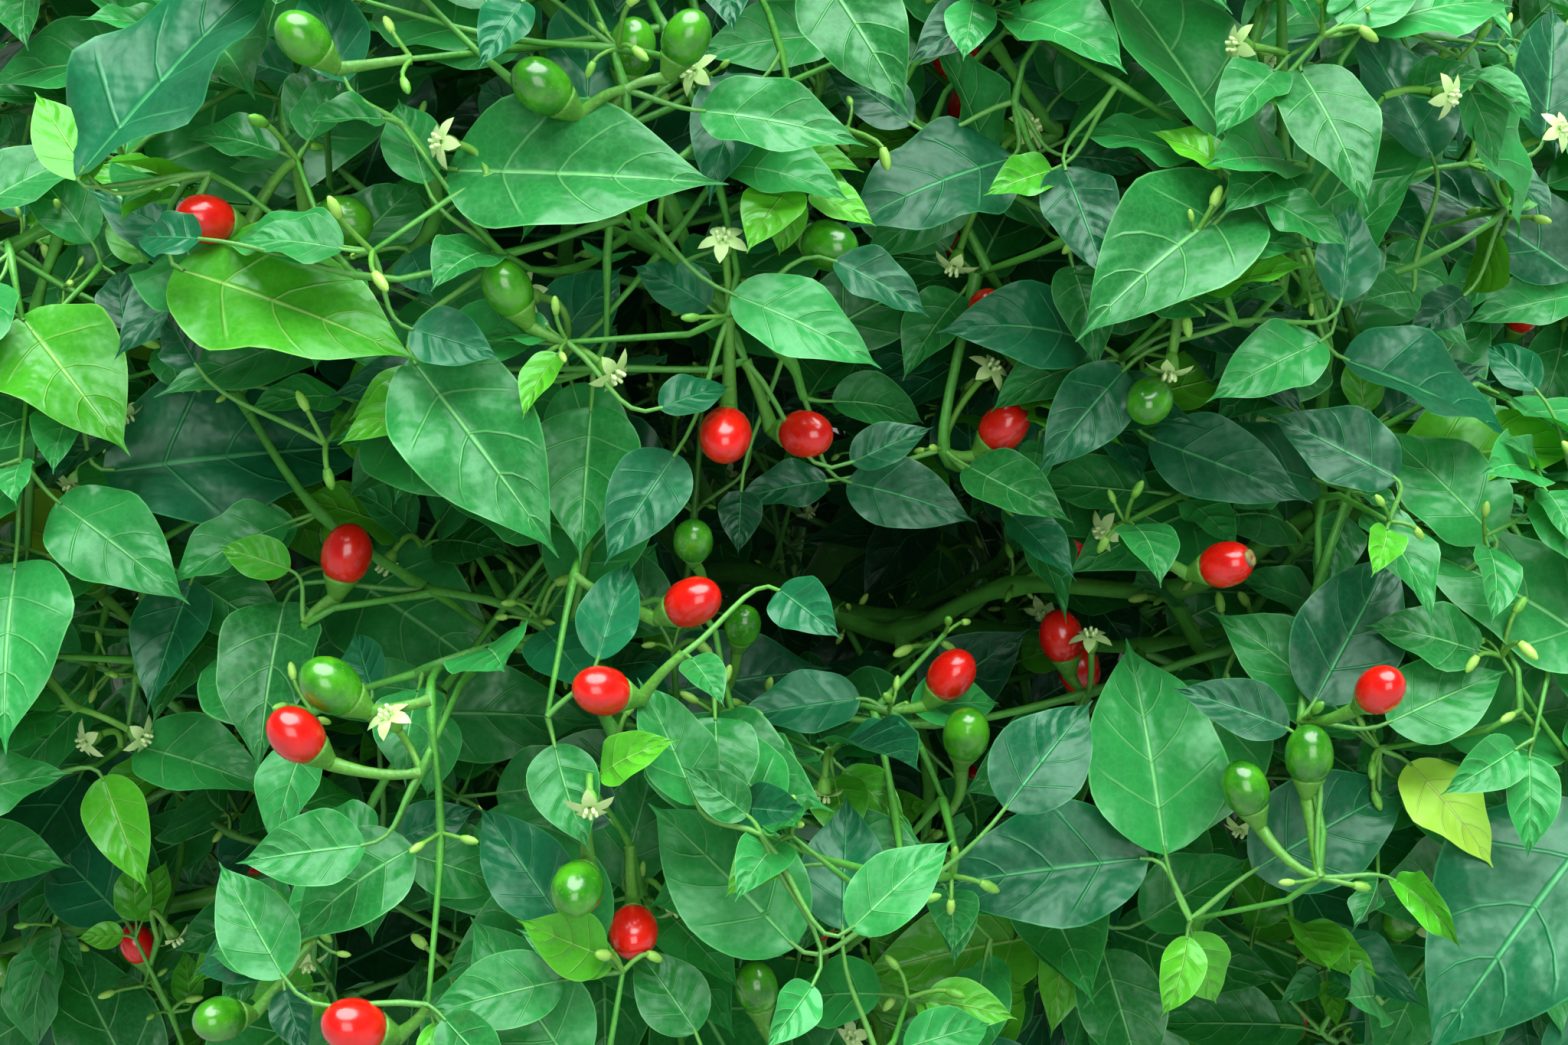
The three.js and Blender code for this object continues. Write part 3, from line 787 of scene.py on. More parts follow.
class Crowd:
    """All that grows on the twigs so far"""

    def __init__(self, twigs):
        points, faces = [], []
        for twig in twigs:
            for a, b in zip(twig["line"], twig["line"][1:]):
                faces.append((len(points), len(points) + 1, len(points) + 2))
                points += [a, b, b + TWIG_SLIVER]
        self.twigs = BVHTree.FromPolygons([list(p) for p in points], faces)
        self.trees = []
        self.middles = np.zeros((MOST_THINGS, 3))
        self.sizes = np.zeros(MOST_THINGS)
        self.sights = np.zeros((0, 3))
        self.depths = np.zeros(0)

    def free(self, tree, middle, size):
        """Whether a thing cuts no twig's middle line and nothing that grows already"""
        if tree.overlap(self.twigs):
            return False
        count = len(self.trees)
        apart = np.linalg.norm(self.middles[:count] - middle, axis=1)
        near = np.nonzero(apart < self.sizes[:count] + size)[0]
        return not any(tree.overlap(self.trees[i]) for i in near)

    def hides(self, tree, middle, size):
        """Whether a thing would stand before one whose place the photograph gives"""
        if not len(self.sights):
            return False
        way = middle - CAMERA_PLACE
        depth = np.linalg.norm(way)
        beside = self.sights @ (way / depth)
        widest = min(SIGHT_MARGIN * size / depth, WIDEST_SIGHT)
        near = np.nonzero((beside > math.cos(widest)) & (self.depths > depth - size))[0]
        return any(tree.ray_cast(CAMERA_PLACE, self.sights[i], self.depths[i] - SIGHT_GAP)[0] is not None
                   for i in near)

    def takes(self, tree, middle, size):
        """Adds a thing if it is free and hides nothing, and tells whether it did"""
        if not self.free(tree, middle, size) or self.hides(tree, middle, size):
            return False
        self.add(tree, middle, size)
        return True

    def keep_in_sight(self, points):
        """Lets nothing that grows later stand before these points"""
        ways = points - CAMERA_PLACE
        depths = np.linalg.norm(ways, axis=1)
        self.sights = np.concatenate([self.sights, ways / depths[:, None]])
        self.depths = np.concatenate([self.depths, depths])

    def add(self, tree, middle, size):
        self.middles[len(self.trees)] = middle
        self.sizes[len(self.trees)] = size
        self.trees.append(tree)


def tree_of(mesh):
    """A mesh's faces, sorted for quick tests of overlap"""
    points, faces = mesh
    triangles = [face for group in faces for face in np.asarray(group).tolist()]
    return BVHTree.FromPolygons(np.asarray(points).tolist(), triangles)


def within_reach(mass, points, give=0):
    """Whether points keep to a mass's reach and clear of the ground"""
    points = np.atleast_2d(points)
    apart = np.linalg.norm(points - mass["centre"], axis=1).max()
    return apart < mass["reach"] + give and points[:, 2].min() > GROUND_CLEARANCE


# Heaps of small meshes, one for each kind of thing and colour

TIERS = {"top": "upper", "shoulder": "upper", "side": "middle", "skirt": "lower", "heart": "lower"}
TINTS = {"young": "young_leaf", "fresh": "leaf", "deep": "deep_leaf", "yellow": "yellow_leaf"}
heaps = {(tint, tier): Heap(f"leaves_{tint}_{tier}", slot)
         for tint, slot in TINTS.items() for tier in ("upper", "middle", "lower")}
heaps.update({
    "ripe": Heap("berries_ripe", "ripe_berry"),
    "green": Heap("berries_green", "green_berry"),
    "dry": Heap("leaf_tips", "yellow_leaf"),
    "petals": Heap("flowers", "petal"),
    "buds": Heap("buds", "bud"),
    "stalks": Heap("stalks", "stem"),
    "petioles": Heap("petioles", "stem"),
    "twigs": Heap("twigs", "stem"),
    "trunk": Heap("trunk_bark", "bark"),
    "boughs": Heap("boughs_bark", "stem"),
})

# Stems that the photograph shows: a radius, then pixels across and down with their depths
STEMS = (
    (3.1, (1105, 806, 650), (1179, 826, 632), (1321, 766, 605), (1528, 772, 580), (1623, 731, 568),
     (1718, 678, 556), (1890, 668, 540)),
    (1.9, (1725, 660, 554), (1725, 553, 545), (1731, 451, 532), (1705, 338, 515), (1679, 225, 500),
     (1674, -20, 475)),
    (2.0, (1535, 790, 578), (1560, 835, 568), (1590, 880, 552)),
    (1.9, (700, -20, 470), (819, 154, 482), (876, 271, 488), (927, 379, 494), (1024, 461, 500),
     (1050, 520, 505)),
    (3.4, (420, 1110, 668), (287, 1167, 655), (110, 1205, 648), (-60, 1266, 640)),
    (4.0, (696, 700, 706), (692, 830, 716), (655, 985, 698), (632, 1080, 680)),
    (2.4, (1178, 825, 632), (1193, 922, 622), (1213, 1004, 612), (1208, 1100, 600)),
    (2.6, (1262, 672, 752), (1290, 740, 705), (1321, 799, 672), (1345, 935, 655)),
    (2.4, (924, 650, 792), (881, 543, 764), (855, 481, 745), (850, 379, 722)),
    (1.6, (480, 395, 515), (500, 370, 500), (563, 297, 480), (568, 246, 470), (545, 180, 462)),
    (1.9, (1430, 1062, 655), (1290, 1080, 640), (1254, 1116, 628), (1126, 1219, 600), (1085, 1262, 590)),
    (2.2, (540, 1030, 700), (425, 975, 692), (330, 940, 684), (235, 925, 676)),
    (1.7, (1375, 175, 520), (1362, 154, 515), (1300, 61, 500), (1250, -10, 490)),
    (1.7, (75, 300, 540), (46, 410, 545), (41, 573, 552), (36, 717, 560)),
)
shoots = [shoot for bough in boughs for shoot in grow_shoots(bough)]
stems = [listed_stem(f"stem_{i + 1}", radius, stops) for i, (radius, *stops) in enumerate(STEMS)]
seams = [seam for mass in masses for seam in grow_seams(mass)]
twigs += shoots + stems + seams
limbs = Limbs([trunk] + boughs + stems)
crowd = Crowd(twigs)


# Leaves on the twigs

LEAF_SPAN = (46, 68)
LEVEL_SHRINK = 0.07
TIP_LEAF_SHARE = (0.36, 0.66)
PETIOLE_RADIUS = 0.65
PETIOLE_SHARE = 0.22
LEAF_TRIES = 6
LEAVES_AT_JOINT = 2
LEAVES_AT_TIP = 3
LEAF_WALL_GIVE = 30
FINE_DEPTH = 560
MIDDLE_DEPTH = 680
SHOWN_DEPTH = 700
PETIOLE_DETAIL = {
    SHOWN_GRID: (8, 7), FINE_GRID: (5, 4), MIDDLE_GRID: (4, 3), OUTER_GRID: (3, 3), PLAIN_GRID: (3, 3)}
OUTER_OUTNESS = 0.66
# A leaf's shade: a random tone plus painted shade, darker deep in the crown and lighter further out than this
# outness
LEAF_SHADES = 0.85
PAINTED_SHADE_OUTNESS = 0.68
CROWN_REACH = 325
CROWN_RISE = 365
CROWN_FALL = 150
FRAME_HALF = (0.56 * PHOTO_WIDTH, 0.58 * PHOTO_HEIGHT)
LEAF_GAP = 0.6
LEAF_EXTENT = 0.6

# How a petiole leaves, bends and tapers
SEAT_SHARE = 0.04
PETIOLE_PULL = 0.45
PETIOLE_TAPER = (1.3, 0.75)
PETIOLE_GROWTH = (0.7, 0.3)
PETIOLE_SHADES = (0.4, 0.5)

# How the tints are dealt out
SPRAY_PATH = 5
LEAF_SPREAD = 0.25
YOUNG_TIPS = 0.45
YOUNG_SPRAYS = 0.1
YELLOW_SPRAYS = 1.2
# Leaves further out take the fresh tint more often: partly their age and partly painted light, with the deep
# tint within the crown as painted shade
OUTER_FRESHNESS_AND_LIGHT = 0.42
FRESH_SPRAYS = 0.72

# How a leaf stands at its joint, and how each new attempt differs
TRY_SHRINK = 0.07
TRY_TURN = 47
TIP_LEAN = 48
LEAF_LEAN = 62
FLATTER = (1, 1, 0.4)
LEAF_OUTWARD = 0.35
LEAF_LIFT = 0.12
TRY_DROP = 0.06
PETIOLE_SPREAD = (0.7, 0.6)
WAY_SHARE = 0.6
FACE_OUTWARD = 0.5
FACE_SCATTER = 0.5
PAIR_SHARES = (0.6, 0.95)
TIP_TURNS = (120, 60)
BARE_TIP_BUDS = 2

# How a leaf is bent and how wide it is, each from the first number to the second
LEAF_BENDS = dict(half=(0.9, 1.14), fold=(0.1, 0.42), droop=(0.2, 0.95), curve=(-0.22, 0.22),
                  twist=(-0.35, 0.35), pucker=(0.014, 0.032), wave=(0.01, 0.055), phase=(0, 1))


def leaf_bends(keys):
    """How a leaf folds, droops, turns and puckers, as shares of its length and radians"""
    bends = {what: mix(low, high, draw(what, *keys)) for what, (low, high) in LEAF_BENDS.items()}
    return dict(bends, half=LEAF_HALF * bends["half"])


def outward_at(joint):
    """The way from the crown's heart to a joint"""
    return unit(joint["end"] - CROWN_HEART)


def keys_of(twig, joint):
    """What a joint's draws are keyed by"""
    return twig["mass"]["name"], twig["path"], joint["number"]


def leaf_fits(leaf, mass, wall_give=None, reach_give=0):
    """Whether a leaf has room, which it then takes"""
    points = leaf_points(leaf, TEST_GRID)
    flat = points.reshape(-1, 3)
    if not within_reach(mass, flat, reach_give) or not limbs.clear(flat, LEAF_GAP):
        return False
    if wall_give is not None and not in_space(mass, flat[1::2], -wall_give):
        return False
    tree = BVHTree.FromPolygons(flat.tolist(), TEST_FACES)
    return crowd.takes(tree, points[2, 1], LEAF_EXTENT * leaf["length"])


def outness(place):
    """How far out in the crown a place is, from 0 at its heart to about 1 at its rim"""
    rise = CROWN_RISE if place[2] > CROWN_HEART[2] else CROWN_FALL
    x, y, z = (place - CROWN_HEART) / (CROWN_REACH, CROWN_REACH, rise)
    return math.sqrt(x * x + y * y + z * z)


def shows(place, depth=FINE_DEPTH):
    """Whether a place is within a depth of the camera and in or near the photograph's frame"""
    pixel, depths = pixels_of(place)
    beside = abs(pixel[0] - (PHOTO_WIDTH / 2, PHOTO_HEIGHT / 2))
    return depths[0] < depth and (beside < FRAME_HALF).all()


def grid_for(joint):
    """The finest leaf mesh near the camera, a plain one deep within the crown"""
    if shows(joint["end"]):
        return FINE_GRID
    if shows(joint["end"], MIDDLE_DEPTH):
        return MIDDLE_GRID
    return OUTER_GRID if outness(joint["end"]) > OUTER_OUTNESS else PLAIN_GRID


def set_leaf(leaf, tint, mass, joint, keys, grid):
    """Adds a leaf and its petiole to their heaps"""
    points = leaf_points(leaf, grid)
    faces = grid.faces
    # Painted shade: the leaf's random tone shifts by its outness, darker deep in the crown and lighter
    # further out, partly for older leaves within
    shade = np.clip(LEAF_SHADES * draw("shade", *keys) + outness(joint["end"]) - PAINTED_SHADE_OUTNESS, 0, 1)
    if "hole" in leaf:
        faces = grid.holed(*leaf["hole"])
    if "dry_tip" in leaf:
        faces, tip = grid.parted(1 - leaf["dry_tip"])
        heaps["dry"].add((points, tip), shade, grid.marks)
    heaps[tint, TIERS[mass["ring"]]].add((points, faces), shade, grid.marks)
    seat = leaf["base"] + leaf["way"] * SEAT_SHARE * leaf["length"]
    run = PETIOLE_PULL * np.linalg.norm(seat - joint["end"])
    count, sides = PETIOLE_DETAIL[grid]
    t = np.linspace(0, 1, count)[:, None]
    stalk = bezier(joint["end"], joint["end"] + leaf["leave"] * run, seat - leaf["way"] * run, seat, t)
    growth = PETIOLE_GROWTH[0] + PETIOLE_GROWTH[1] * leaf["length"] / LEAF_SPAN[1]
    radii = PETIOLE_RADIUS * np.linspace(*PETIOLE_TAPER, count) * growth
    shade = spread(*PETIOLE_SHADES, "petiole", *keys)
    heaps["petioles"].add(tube(stalk, radii, sides, capped=False), shade)


def facing(way, wanted):
    """The unit vector nearest the one wanted that is square to way"""
    return unit(wanted - way * np.dot(way, wanted))


def tint_of(twig, joint, tip, keys):
    """The colour of a spray's leaves: young at the tips, deeper within the crown, partly for older leaves and
    partly as painted shade
    """
    roll = draw("tint", twig["mass"]["name"], twig["path"][:SPRAY_PATH]) + LEAF_SPREAD * draw("tint", *keys)
    if tip:
        return "young" if roll < YOUNG_TIPS else "fresh"
    if roll < YOUNG_SPRAYS:
        return "young"
    if roll > YELLOW_SPRAYS:
        return "yellow"
    return "fresh" if roll + OUTER_FRESHNESS_AND_LIGHT * outness(joint["end"]) > FRESH_SPRAYS else "deep"


def grow_leaf(twig, joint, keys, turn, span, tip):
    """Grows a leaf from a joint where it finds room, and tells whether it did"""
    mass = twig["mass"]
    outward = outward_at(joint)
    bends = leaf_bends(keys)
    for attempt in range(LEAF_TRIES):
        length = span * (1 - TRY_SHRINK * attempt)
        around = turn + TRY_TURN * ((attempt + 1) // 2) * (1 if attempt % 2 else -1)
        aside = spun(joint["across"], joint["way"], around)
        lean = math.radians(TIP_LEAN if tip else LEAF_LEAN)
        leave = joint["way"] * math.cos(lean) + aside * math.sin(lean)
        way = unit(leave * FLATTER + outward * LEAF_OUTWARD + UP * (LEAF_LIFT - TRY_DROP * attempt))
        petiole = PETIOLE_SHARE * length * spread(*PETIOLE_SPREAD, "petiole", *keys)
        base = joint["end"] + unit(leave + way * WAY_SHARE) * petiole
        lift = np.array([draw("face", axis, *keys) - 0.5 for axis in "xyz"])
        face = facing(way, UP + outward * FACE_OUTWARD + lift * FACE_SCATTER)
        leaf = dict(bends, base=base, way=way, face=face, length=length, leave=leave)
        if leaf_fits(leaf, mass, LEAF_WALL_GIVE):
            set_leaf(leaf, tint_of(twig, joint, tip, keys), mass, joint, keys, grid_for(joint))
            return True
    return False


def grow_leaves(twig):
    """A pair of leaves at each joint, and smaller ones or buds at the tip"""
    for joint in twig["joints"]:
        keys = keys_of(twig, joint)
        span = mix(*LEAF_SPAN, draw("span", *keys)) * (1 - LEVEL_SHRINK * twig["level"])
        for k in range(LEAVES_AT_JOINT):
            share = 1 if k == 0 else mix(*PAIR_SHARES, draw("pair", *keys))
            turn = 180 * k + 90 * (joint["number"] % 2)
            grow_leaf(twig, joint, keys + (k,), turn, span * share, False)
    grown = 0
    for k in range(LEAVES_AT_TIP):
        share = mix(*TIP_LEAF_SHARE, draw("tip", k, *keys))
        turn = TIP_TURNS[0] * k + TIP_TURNS[1]
        grown += grow_leaf(twig, joint, keys + ("tip", k), turn, span * share, True)
    if not grown:
        set_buds(joint, BARE_TIP_BUDS, keys + ("tip",))


# Berries, flowers and buds, each in a fine shape and a plain one

BERRY_RADIUS = 5.1
BERRY_LENGTH = 12.5
BERRY_FULLNESS = 2.25
BERRY_WIDTHS = (1.04, 0.12)
BERRY_SINK = 0.6
BERRY_FOOT = 0.45
BERRY_EXTENT = 0.6
BERRY_GAP = 0.5
STALK_SPAN = (17, 25)
STALK_SEAT = 4.2
STALK_WAY = 0.5
STALK_PULL = 0.4
STALK_SHARES = (0, 0.15, 0.7, 1)
STALK_RADII = (1.3, 1.0, 1.2, 1.65)
STALK_RIDGES = 0.07
STALK_SHADE = 0.5
CALYX_RADII = (0, 1.5, 1.9, 2.7, 3.5, 3.7, 3.3, 0)
CALYX_HEIGHTS = (-4.6, -4.6, -3.2, -1.5, 0.1, 0.7, 0.9, 0.5)
CALYX_SHADE = 0.55

PETALS = 5
PETAL_REACH = 5.4
PETAL_NOTCH = 2.4
PETAL_POINT = 0.9
PETAL_ROWS = (0.12, 0.35, 0.6, 0.82, 1.0)
PETAL_RISE = (1.4, 2.6)
PETAL_CURL = (3.6, 2.2)
PETAL_SHADES = (0.3, 0.4)
ANTHER_FOOT = (0.9, 1.2)
ANTHER_SPREAD = (1.5, 1.5, 1)
ANTHER_RISE = (0, 0, 2.4)
ANTHER_SHARES = (0.45, 0.6)
ANTHER_RADII = (0.16, 0.16, 0.5, 0.42)
ANTHER_SHADE = 0.95
FLOWER_GAP = 4
CUP_RADII = (0, 0.9, 1.5, 1.9, 1.7, 0)
CUP_HEIGHTS = (-2.4, -2.4, -1.2, 1.2, 1.6, 1.4)
CUP_SHADE = 0.85
ARCH_FOOT = 2
ARCH_PULL = 0.75
ARCH_RADII = (0.75, 0.85)
ARCH_SHADE = 0.75

BUD_RADII = (0, 0.85, 1.3, 1.1, 0.5, 0)
BUD_HEIGHTS = (-1.6, -1.4, 0.4, 2.4, 3.6, 3.9)
BUD_SPREAD = 50
BUD_RISE = (0.75, 0.5, 0.55)
BUD_NODS = (-0.7, 0.6)
BUD_SIZES = (0.5, 1.0)
BUD_SPANS = (4, 9.5)
BUD_HANG = 2
BUD_SEAT = 1.4
BUD_EXTENT = 5
PEDICEL_PULL = 0.8
PEDICEL_RADII = (0.7, 0.62)
PEDICEL_SHADE = 0.7


def berry(rings, sides):
    """A blunt oval, a little narrower at its head"""
    t = 0.5 - 0.5 * np.cos(np.linspace(0, math.pi, rings))
    body = BERRY_RADIUS * np.clip(1 - np.abs(2 * t - 1) ** BERRY_FULLNESS, 0, 1) ** 0.5
    return lathe(body * (BERRY_WIDTHS[0] - BERRY_WIDTHS[1] * t), BERRY_LENGTH * t - BERRY_SINK, sides)


def corolla(count):
    """Five pointed petals that curl back from a shallow cup"""
    angles = np.arange(count) * 2 * math.pi / count
    off_tip = np.abs((angles * PETALS / math.pi + 1) % 2 - 1)
    reach = PETAL_NOTCH + (PETAL_REACH - PETAL_NOTCH) * (1 - off_tip) ** PETAL_POINT
    r = np.array(PETAL_ROWS)[:, None] * reach
    share = r / PETAL_REACH
    z = PETAL_RISE[0] + PETAL_RISE[1] * share - PETAL_CURL[0] * share ** PETAL_CURL[1]
    points = np.stack([r * np.cos(angles), r * np.sin(angles), z], -1).reshape(-1, 3)
    return points, [grid_faces(len(PETAL_ROWS), len(angles), True)]


def anthers(sides):
    """One anther on its thread between each two petals"""
    points, faces, count = [], [], 0
    out, up = ANTHER_FOOT
    for k in range(PETALS):
        angle = (2 * k + 1) * math.pi / PETALS
        foot = np.array([out * math.cos(angle), out * math.sin(angle), up])
        head = foot * ANTHER_SPREAD + ANTHER_RISE
        line = [foot] + [mix(foot, head, share) for share in ANTHER_SHARES] + [head]
        made, groups = tube(np.array(line), ANTHER_RADII, sides)
        points.append(made)
        faces += [group + count for group in groups]
        count += len(made)
    return np.concatenate(points), faces


BERRY_KINDS = [berry(13, 16), berry(8, 10)]
CALYXES = [lathe(CALYX_RADII, CALYX_HEIGHTS, sides) for sides in (12, 6)]
CROWNS = [corolla(30), corolla(20)]
ANTHERS = [anthers(5), anthers(3)]
FLOWER_CUPS = [lathe(CUP_RADII, CUP_HEIGHTS, sides) for sides in (10, 5)]
BUDS = [lathe(BUD_RADII, BUD_HEIGHTS, 7),
        lathe(BUD_RADII[::2] + BUD_RADII[-1:], BUD_HEIGHTS[::2] + BUD_HEIGHTS[-1:], 4)]
SCAR = lathe((0, 2.1, 1.9, 0.9, 0.5, 0), (-1.2, -0.9, 0.0, 0.35, -0.1, -0.3), 9)

# Steps along and sides of the fine and the plain stalks
STALK_DETAIL = ((7, 8), (4, 4))
ARCH_DETAIL = ((8, 6), (4, 3))
PEDICEL_DETAIL = ((4, 5), (3, 3))


def detail_at(place):
    """0, the fine shape, near the camera and 1, the plain one, elsewhere"""
    return 0 if shows(place, SHOWN_DEPTH) else 1


def set_berry(joint, centre, axis, kind, size, keys):
    """Adds a berry on its stalk if it has room, and tells whether it had"""
    place = centre - axis * (BERRY_FOOT * BERRY_LENGTH * size)
    detail = detail_at(centre)
    body = stood(BERRY_KINDS[detail], place, axis, size)
    reach = BERRY_EXTENT * BERRY_LENGTH * size
    if not limbs.clear(body[0], BERRY_GAP) or not crowd.takes(tree_of(body), centre, reach):
        return False
    heaps[kind].add(body, draw("berry", *keys))
    foot = place - axis * STALK_SEAT * size
    leave = unit(unit(foot - joint["end"]) + joint["way"] * STALK_WAY)
    steps, sides = STALK_DETAIL[detail]
    stalk = bent(joint["end"], leave, foot, steps, STALK_PULL)
    radii = size * np.interp(np.linspace(0, 1, steps), STALK_SHARES, STALK_RADII)
    ridges = 1 + STALK_RIDGES * np.cos(np.arange(sides) * math.pi)
    heaps["stalks"].add(stood(CALYXES[detail], place, axis, size), CALYX_SHADE)
    heaps["stalks"].add(tube(stalk, radii, sides, ridges, False), STALK_SHADE)
    return True


def set_flower(joint, centre, axis, size, keys):
    """Adds a flower on its arched stalk if it has room, and tells whether it had"""
    turn = 360 / PETALS * draw("turn", *keys)
    detail = detail_at(centre)
    crown = stood(CROWNS[detail], centre, axis, size, turn)
    if not limbs.clear(centre, FLOWER_GAP) or not crowd.takes(tree_of(crown), centre, PETAL_REACH * size):
        return False
    heaps["petals"].add(crown, spread(*PETAL_SHADES, "petal", *keys))
    heaps["petals"].add(stood(ANTHERS[detail], centre, axis, size, turn), ANTHER_SHADE)
    heaps["stalks"].add(stood(FLOWER_CUPS[detail], centre, axis, size), CUP_SHADE)
    foot = centre - axis * ARCH_FOOT * size
    steps, sides = ARCH_DETAIL[detail]
    arch = bent(foot, -axis, joint["end"], steps, ARCH_PULL)[::-1]
    radii = np.linspace(*ARCH_RADII, steps) * size
    heaps["stalks"].add(tube(arch, radii, sides, capped=False), ARCH_SHADE)
    return True


def leaning(shares, aside, ahead, upward):
    """A unit vector of three ways in these shares"""
    return unit(aside * shares[0] + ahead * shares[1] + upward * shares[2])


def set_buds(joint, count, keys):
    """Adds buds round a joint where they are free"""
    detail = detail_at(joint["end"])
    for k in range(count):
        turn = 360 * k / count + BUD_SPREAD * draw("bud", k, *keys)
        aside = spun(joint["across"], joint["way"], turn)
        rise = leaning(BUD_RISE, aside, joint["way"], UP)
        nod = unit(aside + UP * mix(*BUD_NODS, draw("nod", k, *keys)))
        size = mix(*BUD_SIZES, draw("size", k, *keys))
        span = mix(*BUD_SPANS, draw("span", k, *keys))
        foot = joint["end"] + rise * span * size + nod * BUD_HANG
        body = stood(BUDS[detail], foot + nod * BUD_SEAT * size, nod, size)
        tree = tree_of(body)
        if not crowd.free(tree, foot, BUD_EXTENT):
            continue
        crowd.add(tree, foot, BUD_EXTENT)
        heaps["buds"].add(body, draw("pale", k, *keys))
        steps, sides = PEDICEL_DETAIL[detail]
        stalk = bent(joint["end"], rise, foot, steps, PEDICEL_PULL)
        radii = np.linspace(*PEDICEL_RADII, steps) * size
        heaps["stalks"].add(tube(stalk, radii, sides, capped=False), PEDICEL_SHADE)


# What the photograph shows, at its places in the 2048 by 1365 frame

RIPE_BERRIES = (
    (268, 286), (947, 569), (1053, 567), (1312, 556), (905, 786), (1243, 881), (785, 902), (1386, 831),
    (1410, 873), (1602, 737), (453, 723), (386, 959), (179, 1232), (462, 1340), (827, 1218),
)
GREEN_BERRIES = (
    (825, 62), (707, 112), (662, 375), (897, 49), (395, 49), (449, 290), (449, 703), (431, 895), (1501, 524),
    (1710, 985), (1626, 1029), (753, 1162), (988, 1289), (286, 1331), (1084, 321),
)
FLOWERS = (
    (914, 96), (946, 321), (1339, 170), (1249, 339), (794, 482), (1289, 487), (1529, 475), (1448, 691),
    (1362, 793), (179, 959), (513, 943), (400, 1249), (1622, 1075), (1884, 123), (2030, 172), (1624, 60),
    (585, 187),
)

